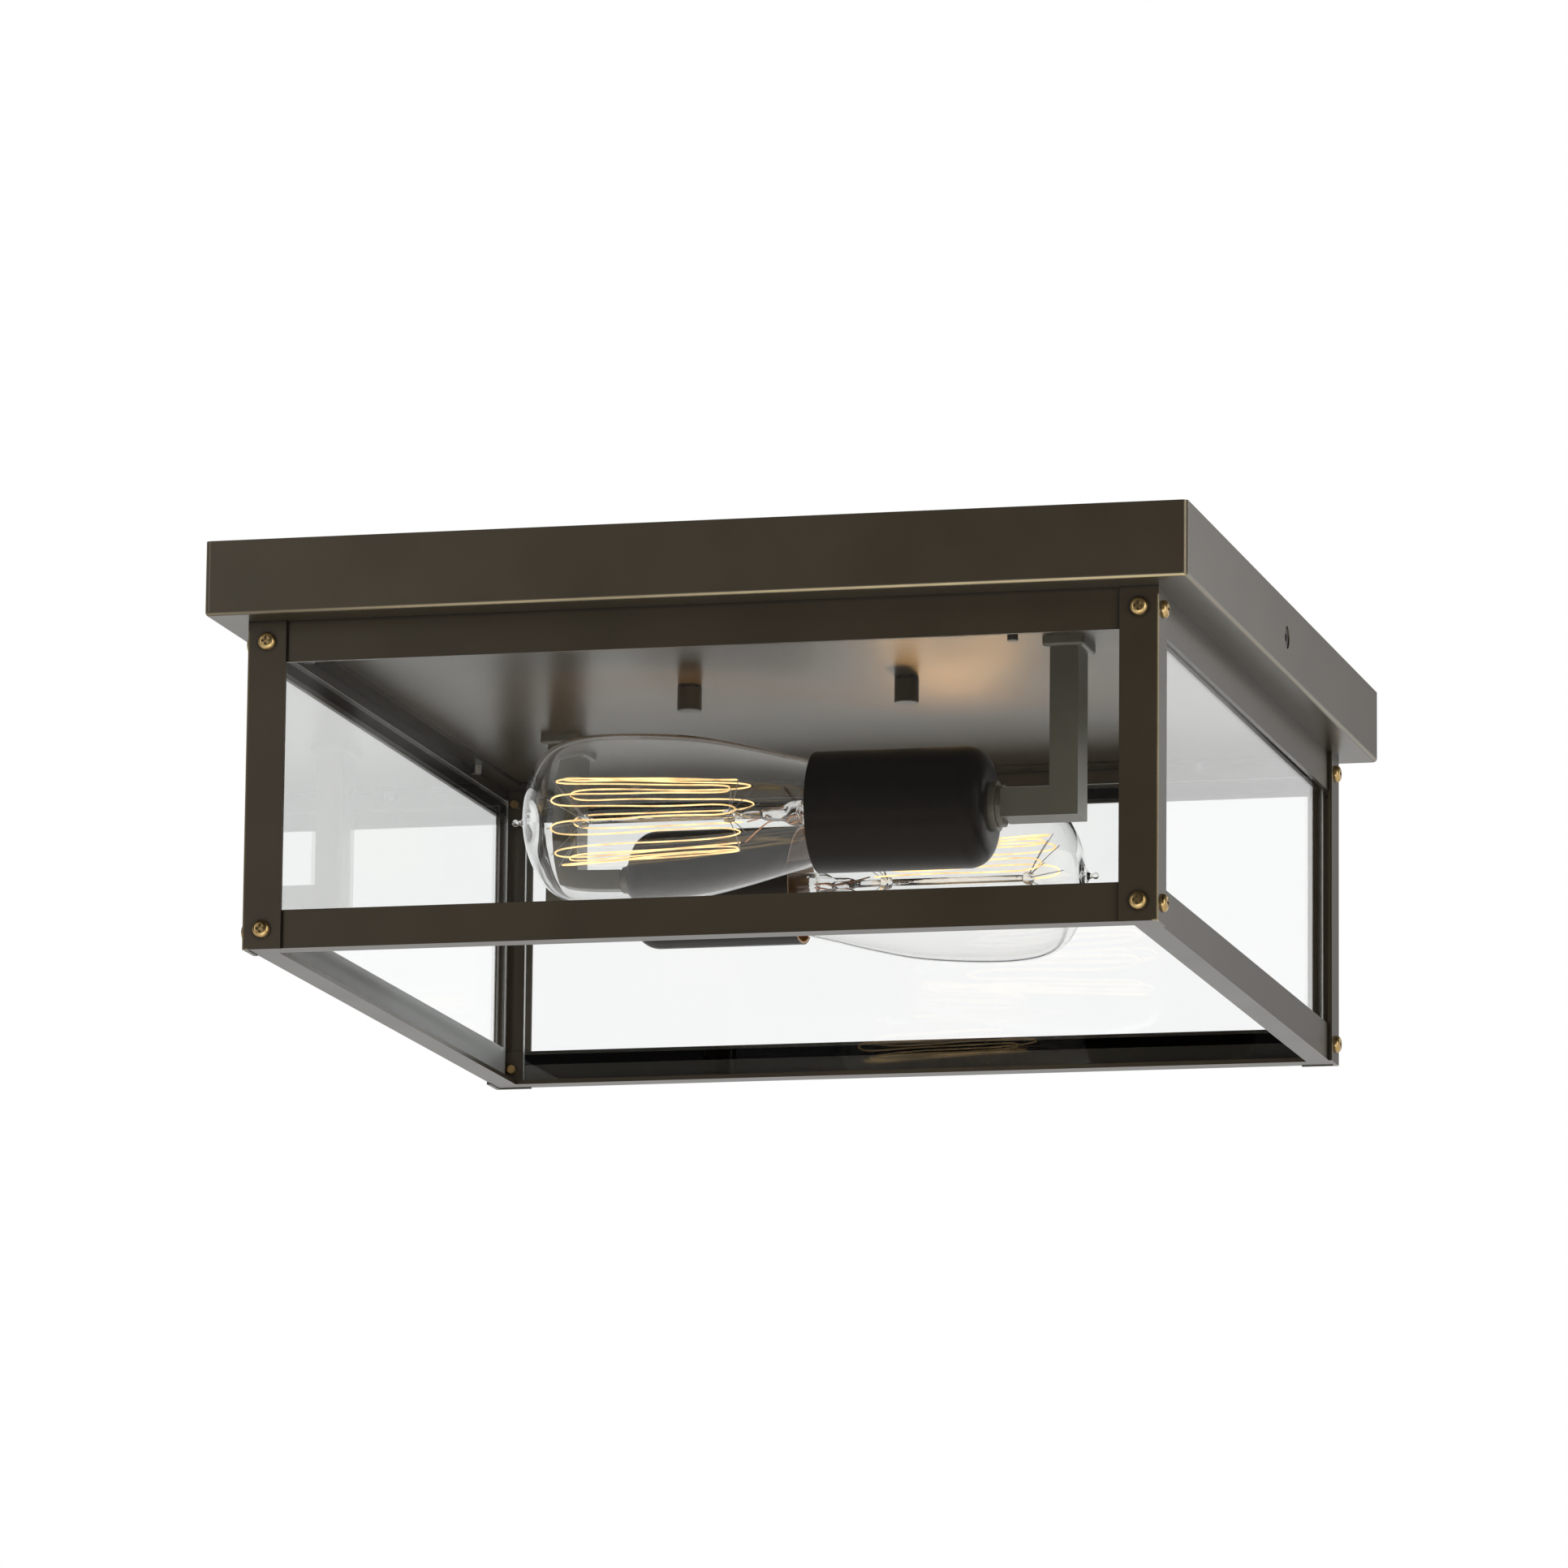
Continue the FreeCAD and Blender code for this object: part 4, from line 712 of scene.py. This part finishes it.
# %% Lamp frames
def lamp_frame(lamp):
    """From a lamp's own frame to the light's."""
    low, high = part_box(f"socket_cup_{lamp}")
    middle = (low + high) / 2
    if lamp == "front":
        return Matrix.Translation((low.x, middle.y, middle.z))
    return Matrix.Translation((high.x, middle.y, middle.z)) @ Matrix.Rotation(math.pi, 4, "Z")


def reach(node):
    """A front lamp node's nearest and furthest place along the lamp, and its radius."""
    low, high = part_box(node)
    mouth = lamp_frame("front").translation.x
    return low.x - mouth, high.x - mouth, (high.z - low.z) / 2


print("the front lamp starts at", [round(value, 4) for value in lamp_frame("front").translation])

# %% [markdown]
# Most of a lamp is round, so one helper does what a lathe does: it takes an outline of places and
# radii, and carries it round X. Where a piece is pinched flat, a point has a width and a height.
# Another helper eases a few chosen points into a smooth line. The Screw modifier could spin the
# outline too, but it can't pinch it, and here every ring stays easy to find.


# %% Smooth lines
def eased(points, steps=5):
    """A smooth line through points, by the Catmull-Rom rule."""
    padded = [points[0], *points, points[-1]]
    line = []
    for before, start, end, after in zip(padded, padded[1:], padded[2:], padded[3:]):
        for step in range(steps):
            share = step / steps
            bow = 2 * before - 5 * start + 4 * end - after
            twist = after - before + 3 * (start - end)
            line.append((2 * start + (end - before) * share + bow * share**2 + twist * share**3) / 2)
    return line + [points[-1]]


def around(x, radius, angle):
    """A point at a radius and an angle round X."""
    return Vector((x, radius * math.cos(angle), radius * math.sin(angle)))


def turns(sides):
    """The angles of so many sides."""
    return [math.tau * side / sides for side in range(sides)]


# %% Skins and lathe
NO_RADIUS = 1e-7


def join_rings(form, rings):
    """Faces between each ring of points and the next. A ring can be one point, named over and over."""
    for first, second in zip(rings, rings[1:]):
        for side in range(len(first)):
            corners = list(dict.fromkeys([first[side - 1], first[side], second[side], second[side - 1]]))
            if len(corners) > 2:
                form.faces.new(corners)


def into_object(form, name, smooth=True):
    """An object from a form, with its faces turned outwards."""
    bmesh.ops.recalc_face_normals(form, faces=form.faces)
    mesh = bpy.data.meshes.new(name)
    form.to_mesh(mesh)
    form.free()
    for face in mesh.polygons:
        face.use_smooth = smooth
    return bpy.data.objects.new(name, mesh)


def lathe(name, outline, sides):
    """Carries a closed outline of (place, radius) or (place, width, height) points round X."""
    form = bmesh.new()
    rings = []
    for point in outline:
        x, wide, high = point[0], point[1], point[-1]
        if wide < NO_RADIUS:
            rings.append([form.verts.new((x, 0, 0))] * sides)
            continue
        rings.append([form.verts.new((x, wide * math.cos(a), high * math.sin(a))) for a in turns(sides)])
    join_rings(form, rings + rings[:1])
    return into_object(form, name)


def fit(piece, lamp, body, finish, slot, *replaced):
    """Links a lamp's piece, puts it in the lamp's frame, gives it a finish and hides what it replaces."""
    bpy.context.scene.collection.objects.link(piece)
    piece.matrix_world = lamp_frame(lamp)
    piece.data.materials.append(FINISHES[finish])
    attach(piece, body)
    for node in replaced:
        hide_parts(f"{node}_{lamp}")


# %% [markdown]
# ## Blown glass
#
# Each bulb is a long tube of clear glass, blown thin, that narrows to the base. It was closed by
# pulling its far end out to a thread and melting it off, which leaves the small pip. A single skin
# would bend light like a solid lens, so the wall has its outside and its inside, as real glass has.

# %% Bulb glass
TIP, NECK, GLASS_RADIUS = reach("bulb_glass_front")
BASE_START, BASE_END, BASE_RADIUS = reach("bulb_base_front")
GLASS_WALL = 0.7 * MM
NECK_RADIUS = 11.95 * MM
GLASS_LENGTH = BASE_START - TIP
# From the neck to the tip: shares of the glass's length and of its widest radius
GLASS_SHARES = ((0.04, 0.42), (0.113, 0.59), (0.209, 0.70), (0.33, 0.83), (0.455, 0.935), (0.6, 0.99),
                (0.735, 1.0), (0.83, 0.945), (0.889, 0.81), (0.93, 0.55), (0.953, 0.25))
# The pulled pip outside, and the round end inside: places from the tip and radii, in millimetres
PIP = ((5.2, 4.2), (4.1, 1.9), (3.2, 1.0), (2.5, 0.8), (2.0, 1.05), (1.3, 1.3), (0.5, 1.0), (0.0, 0.0))
INNER_END = ((6.2, 2.4), (5.6, 0.0))


def glass_line(inset, end):
    """The glass's outline, moved in by a wall's thickness, from its neck to its far end."""
    points = [Vector((BASE_START, NECK_RADIUS - inset))]
    for place_share, radius_share in GLASS_SHARES:
        place = BASE_START - place_share * (GLASS_LENGTH - inset)
        points.append(Vector((place, radius_share * (GLASS_RADIUS - inset))))
    return eased(points + [Vector((TIP + from_tip * MM, radius * MM)) for from_tip, radius in end])


outside = glass_line(0, PIP)
inside = glass_line(GLASS_WALL, INNER_END)
neck_rim = [Vector((NECK, NECK_RADIUS - GLASS_WALL)), Vector((NECK, NECK_RADIUS))]
for lamp in LAMPS:
    glass = lathe(f"blown_glass_{lamp}", [neck_rim[1], *outside, *reversed(inside), neck_rim[0]], 128)
    fit(glass, lamp, f"bulb_{lamp}_turn", "bulb_glass", "bulb_clear_glass", "bulb_glass")
print("glass length:", round(GLASS_LENGTH, 4), "radius:", round(GLASS_RADIUS, 4))

# %% [markdown]
# ## Glass stem
#
# Inside the neck a flared glass tube is melted to the bulb. Its end is pinched flat round the wires,
# which seals them, and a thin glass rod goes on from there with a bead that carries the wire hooks.
# The pinch is what glitters near the cup's mouth, so it gets dents of its own.

# %% Stem
STEM_END = reach("bulb_stem_front")[0]
BEAD = -33.0 * MM
# Places along the lamp, widths and heights, in millimetres, from the flare to the pinched end
FLARE = ((18.5, 11.0, 11.0), (17.4, 10.4, 10.4), (15.8, 7.4, 7.4), (13.5, 5.6, 5.6), (9.0, 5.0, 5.0),
         (-6.0, 4.7, 4.7), (-10.0, 4.9, 4.2), (-13.0, 5.6, 2.6), (-17.5, 5.6, 2.3), (-19.5, 4.0, 2.1),
         (-21.0, 1.5, 1.5))
FLARE_BORE = ((-8.0, 0.0, 0.0), (-7.0, 2.6, 2.6), (-4.0, 3.8, 3.8), (9.0, 4.1, 4.1), (13.5, 4.8, 4.8),
              (16.0, 6.8, 6.8), (17.6, 9.8, 9.8), (18.5, 10.4, 10.4))
ROD_RADIUS = 1.3 * MM
BEAD_RADIUS = 2.5 * MM
BEAD_HALF, FAR_BEAD_HALF = 2.2 * MM, 2.0 * MM
FAR_BEAD = STEM_END + 2.2 * MM
BEAD_STEPS = 6


def bead(middle, half):
    """A round swelling on the rod."""
    line = []
    for step in range(BEAD_STEPS + 1):
        angle = math.pi * step / BEAD_STEPS
        radius = ROD_RADIUS + (BEAD_RADIUS - ROD_RADIUS) * math.sin(angle)
        line.append(Vector((middle + half * math.cos(angle), radius)))
    return line


stem_line = eased([Vector(point) * MM for point in FLARE], 4)
stem_line += bead(BEAD, BEAD_HALF) + bead(FAR_BEAD, FAR_BEAD_HALF) + [Vector((STEM_END, 0.0))]
stem_line += eased([Vector(point) * MM for point in FLARE_BORE], 3)
for lamp in LAMPS:
    stem = lathe(f"glass_stem_{lamp}", stem_line, 48)
    fit(stem, lamp, f"bulb_{lamp}_turn", "stem_glass", "bulb_clear_glass", "bulb_stem")
print("stem ends at", round(STEM_END, 4))

# %% [markdown]
# ## Filament
#
# One long wire runs to and fro between two rings of hooks, eighteen times in all, like a cage. A Curve
# with a round bevel suits it: its points are only where the wire is held, and a little wander halfway
# along each run, because real wire is never taut. The hooks and the two supply wires are curves too.


# %% Wires
def wire(name, runs, radius):
    """A curve object of one or more smooth wires."""
    curve = bpy.data.curves.new(name, "CURVE")
    curve.dimensions = "3D"
    curve.bevel_depth = radius
    curve.bevel_resolution = 2
    curve.resolution_u = 4
    for points in runs:
        spline = curve.splines.new("NURBS")
        spline.points.add(len(points) - 1)
        for point, place in zip(spline.points, points):
            point.co = (*place, 1.0)
        spline.order_u = 3
        spline.use_endpoint_u = True
    return bpy.data.objects.new(name, curve)


# %% Filament
import random

RUNS = 18
STEP = math.tau / (RUNS + 1)
NEAR, NEAR_RADIUS = -0.0295, 0.0130
FAR, FAR_RADIUS = -0.0942, 0.0160
FILAMENT_RADIUS = 0.30 * MM
# The four points of a run, as shares of it. The middle two wander
RUN_SHARES = (0.03, 0.36, 0.68, 0.97)
WANDER = 0.8 * MM
# How far a bend reaches beyond its ring, and how uneven the near ones are
BEND_REACH = 2.2 * MM
UNEVEN = 3.0 * MM
UNEVEN_TURN = 2.4


def bend(number):
    """The middle of a bend: the even ones at the far ring, the odd ones at the near ring."""
    if number % 2 == 0:
        x, radius = FAR - BEND_REACH, FAR_RADIUS
    else:
        x, radius = NEAR + BEND_REACH + UNEVEN * math.sin(UNEVEN_TURN * number), NEAR_RADIUS
    return around(x, radius * math.cos(STEP / 2), STEP * (number + 0.5))


def filament_points(seed):
    """The points of one long filament: four to a run, two of which wander, and one to each bend."""
    chance = random.Random(seed)
    points = []
    for run in range(RUNS):
        near = around(NEAR, NEAR_RADIUS, STEP * run)
        far = around(FAR, FAR_RADIUS, STEP * run)
        line = [near.lerp(far, share) for share in RUN_SHARES]
        for middle in (1, 2):
            line[middle] += Vector([chance.uniform(-WANDER, WANDER) for _ in range(3)])
        points += line if run % 2 == 0 else line[::-1]
        if run < RUNS - 1:
            points.append(bend(run))
    return points


# %% Hooks and supply wires
HOOK_RADIUS = 0.16 * MM
HOOK_BOW = 0.4 * MM
HOOK_END = 0.6 * MM
SUPPLY_RADIUS = 0.28 * MM
# Places along the lamp and distances from its middle line, in millimetres, out to the filament's ends
SUPPLY_LINE = ((-6.0, 2.0), (-16.5, 2.4), (-21.5, 5.0), (NEAR / MM, NEAR_RADIUS / MM))


def hook_lines():
    """A hook for each bend: from the middle bead to the near ones, and from the far bead to the far ones."""
    lines = []
    for number in range(RUNS - 1):
        root = around(STEM_END + 2 * MM if number % 2 == 0 else BEAD, ROD_RADIUS, STEP * (number + 0.5))
        catch = bend(number)
        over = catch + (catch - root).normalized() * HOOK_END
        lines.append([root, root.lerp(catch, 0.5) + Vector((HOOK_BOW, 0, 0)), catch, over])
    return lines


def supply_lines():
    """The two wires that bring the current, from inside the stem to the filament's ends."""
    return [[around(place * MM, distance * MM, STEP * run) for place, distance in SUPPLY_LINE]
            for run in (0, RUNS - 1)]


for seed, lamp in enumerate(LAMPS):
    glowing = wire(f"glowing_filament_{lamp}", [filament_points(seed)], FILAMENT_RADIUS)
    fit(glowing, lamp, f"bulb_{lamp}_turn", "glow", "filament_wire", "bulb_filament")
    hooks = wire(f"filament_hooks_{lamp}", hook_lines(), HOOK_RADIUS)
    fit(hooks, lamp, f"bulb_{lamp}_turn", "hook_steel", "filament_wire")
    supply = wire(f"supply_wires_{lamp}", supply_lines(), SUPPLY_RADIUS)
    fit(supply, lamp, f"bulb_{lamp}_turn", "copper", "filament_wire")
print(RUNS, "runs and", len(hook_lines()), "hooks in each bulb")

# %% [markdown]
# ## Screw base
#
# The base is thin brass, rolled into a round thread of five turns. A thread is a ridge that moves
# along as it goes round, so each point's radius follows a cosine of its place and its angle together.
# It could be lofted along a helix, but this needs no joints where the turns meet.

# %% Threaded base
THREAD_PITCH = 3.629 * MM
CREST = 0.55 * MM
COLLAR = 1.6 * MM
# At the insulator's end the brass is drawn in: over this length, by this much, along this curve
CONE = 2.0 * MM
DRAWN_IN = 3.4 * MM
DRAWN_CURVE = 1.5
BRASS_WALL = 0.35 * MM
RINGS = 90
BASE_SIDES = 72


def base_radius(x, angle):
    """The base's radius: plain at both ends, threaded between, and drawn in at the insulator."""
    from_end = min(x - BASE_START, BASE_END - x) - COLLAR
    fade = min(max(from_end / COLLAR, 0.0), 1.0)
    ridge = 0.5 + 0.5 * math.cos(math.tau * x / THREAD_PITCH - angle)
    into_cone = max(0.0, x - (BASE_END - CONE)) / CONE
    return BASE_RADIUS - CREST * (1 - ridge * fade) - DRAWN_IN * into_cone**DRAWN_CURVE


def threaded_base(name):
    """The base's outer skin, from the glass to the insulator."""
    form = bmesh.new()
    rings = []
    for ring in range(RINGS + 1):
        x = BASE_START + (BASE_END - BASE_START) * ring / RINGS
        rings.append([form.verts.new(around(x, base_radius(x, angle), angle)) for angle in turns(BASE_SIDES)])
    join_rings(form, rings)
    return into_object(form, name)


for lamp in LAMPS:
    base = threaded_base(f"screw_base_{lamp}")
    fit(base, lamp, f"bulb_{lamp}_turn", "shell_brass", "bulb_base_brass", "bulb_base")
    skin = base.modifiers.new("skin", "SOLIDIFY")
    skin.thickness = BRASS_WALL
    skin.offset = -1
print("base:", round(BASE_END - BASE_START, 4), "long")

# %% [markdown]
# ## Wire caps
#
# Inside the canopy each pair of wires ends in a twist-on cap: a moulded cone with ribs for the fingers.
# The caps only show from above, but the light is lifted off its box when it is fitted, and then they
# are what one sees. Both belong to one node, so each is found there by walking from point to point,
# and its own line is measured before the finer cap is laid on it.

# %% Finding the caps
SAME_PLACE = 1e-6
AT_END = 1e-4


def loose_parts(node):
    """The separate solids of a node from left to right, each as a list of its points."""
    form = bmesh.new()
    form.from_mesh(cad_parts[node].data)
    bmesh.ops.remove_doubles(form, verts=form.verts, dist=SAME_PLACE)
    unseen = dict.fromkeys(form.verts)
    parts = []
    while unseen:
        stack = [unseen.popitem()[0]]
        part = []
        while stack:
            corner = stack.pop()
            part.append(corner.co.copy())
            for other in (edge.other_vert(corner) for edge in corner.link_edges):
                if other in unseen:
                    del unseen[other]
                    stack.append(other)
        parts.append(part)
    form.free()
    return sorted(parts, key=lambda part: min(corner.x for corner in part))


def cap_line(points):
    """A cap's middle, its way from the wide end, and the place and radius of its wide and narrow ends."""
    middle = sum(points, Vector()) / len(points)
    arms = [point - middle for point in points]
    lean = math.atan2(2 * sum(arm.x * arm.y for arm in arms), sum(arm.x**2 - arm.y**2 for arm in arms)) / 2
    way = Vector((math.cos(lean), math.sin(lean), 0))
    middle.z = (min(point.z for point in points) + max(point.z for point in points)) / 2
    spans = [((point - middle).dot(way), point.z - middle.z) for point in points]
    low = min(span for span, _ in spans)
    high = max(span for span, _ in spans)
    low_radius = max(rise for span, rise in spans if span < low + AT_END)
    high_radius = max(rise for span, rise in spans if span > high - AT_END)
    if high_radius > low_radius:
        return middle, -way, (-high, high_radius), (-low, low_radius)
    return middle, way, (low, low_radius), (high, high_radius)


# %% Caps with ribs
CAP_RIBS = 18
RIB_SHARE = 0.07
# Lengths at the wide end: its plain lip, where the ribs start, and the bore down to its corner and its floor
LIP, RIBS_START, BORE_CORNER, BORE_FLOOR = 3 * MM, 2 * MM, 12 * MM, 13 * MM
BORE_SHARE, BORE_CORNER_SHARE = 0.72, 0.5
# At the narrow end: its rounding, where the ribs end, and its flat as a share of the radius
ROUNDING, RIBS_END, FLAT_SHARE = 1 * MM, 0.5 * MM, 0.8


def ribbed_cap(name, points):
    """A wire cap on the line of its solid: ribbed outside, and open at its wide end."""
    middle, way, (low, low_radius), (high, high_radius) = cap_line(points)
    outline = [
        (high, 0.0),
        (high, high_radius * FLAT_SHARE),
        (high - ROUNDING, high_radius),
        (low + LIP, low_radius),
        (low, low_radius),
        (low, low_radius * BORE_SHARE),
        (low + BORE_CORNER, low_radius * BORE_CORNER_SHARE),
        (low + BORE_FLOOR, 0.0),
    ]
    form = bmesh.new()
    rings = []
    sides = CAP_RIBS * 4
    for x, radius in outline:
        if radius == 0:
            rings.append([form.verts.new((x, 0, 0))] * sides)
            continue
        ribbed = RIB_SHARE if low + RIBS_START < x < high - RIBS_END else 0.0
        radii = [radius * (1 - ribbed * (side % 4 > 1)) for side in range(sides)]
        rings.append([form.verts.new(around(x, *spoke)) for spoke in zip(radii, turns(sides))])
    join_rings(form, rings)
    cap = into_object(form, name, smooth=False)
    bpy.context.scene.collection.objects.link(cap)
    cap.matrix_world = Matrix.Translation(middle) @ way.to_track_quat("X", "Z").to_matrix().to_4x4()
    cap.data.materials.append(FINISHES["cap_orange"])
    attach(cap, "fixture")
    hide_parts("wire_connectors")
    return low_radius


for index, part in enumerate(loose_parts("wire_connectors"), start=1):
    print("cap", index, "radius:", round(ribbed_cap(f"wire_cap_{index}", part), 4))
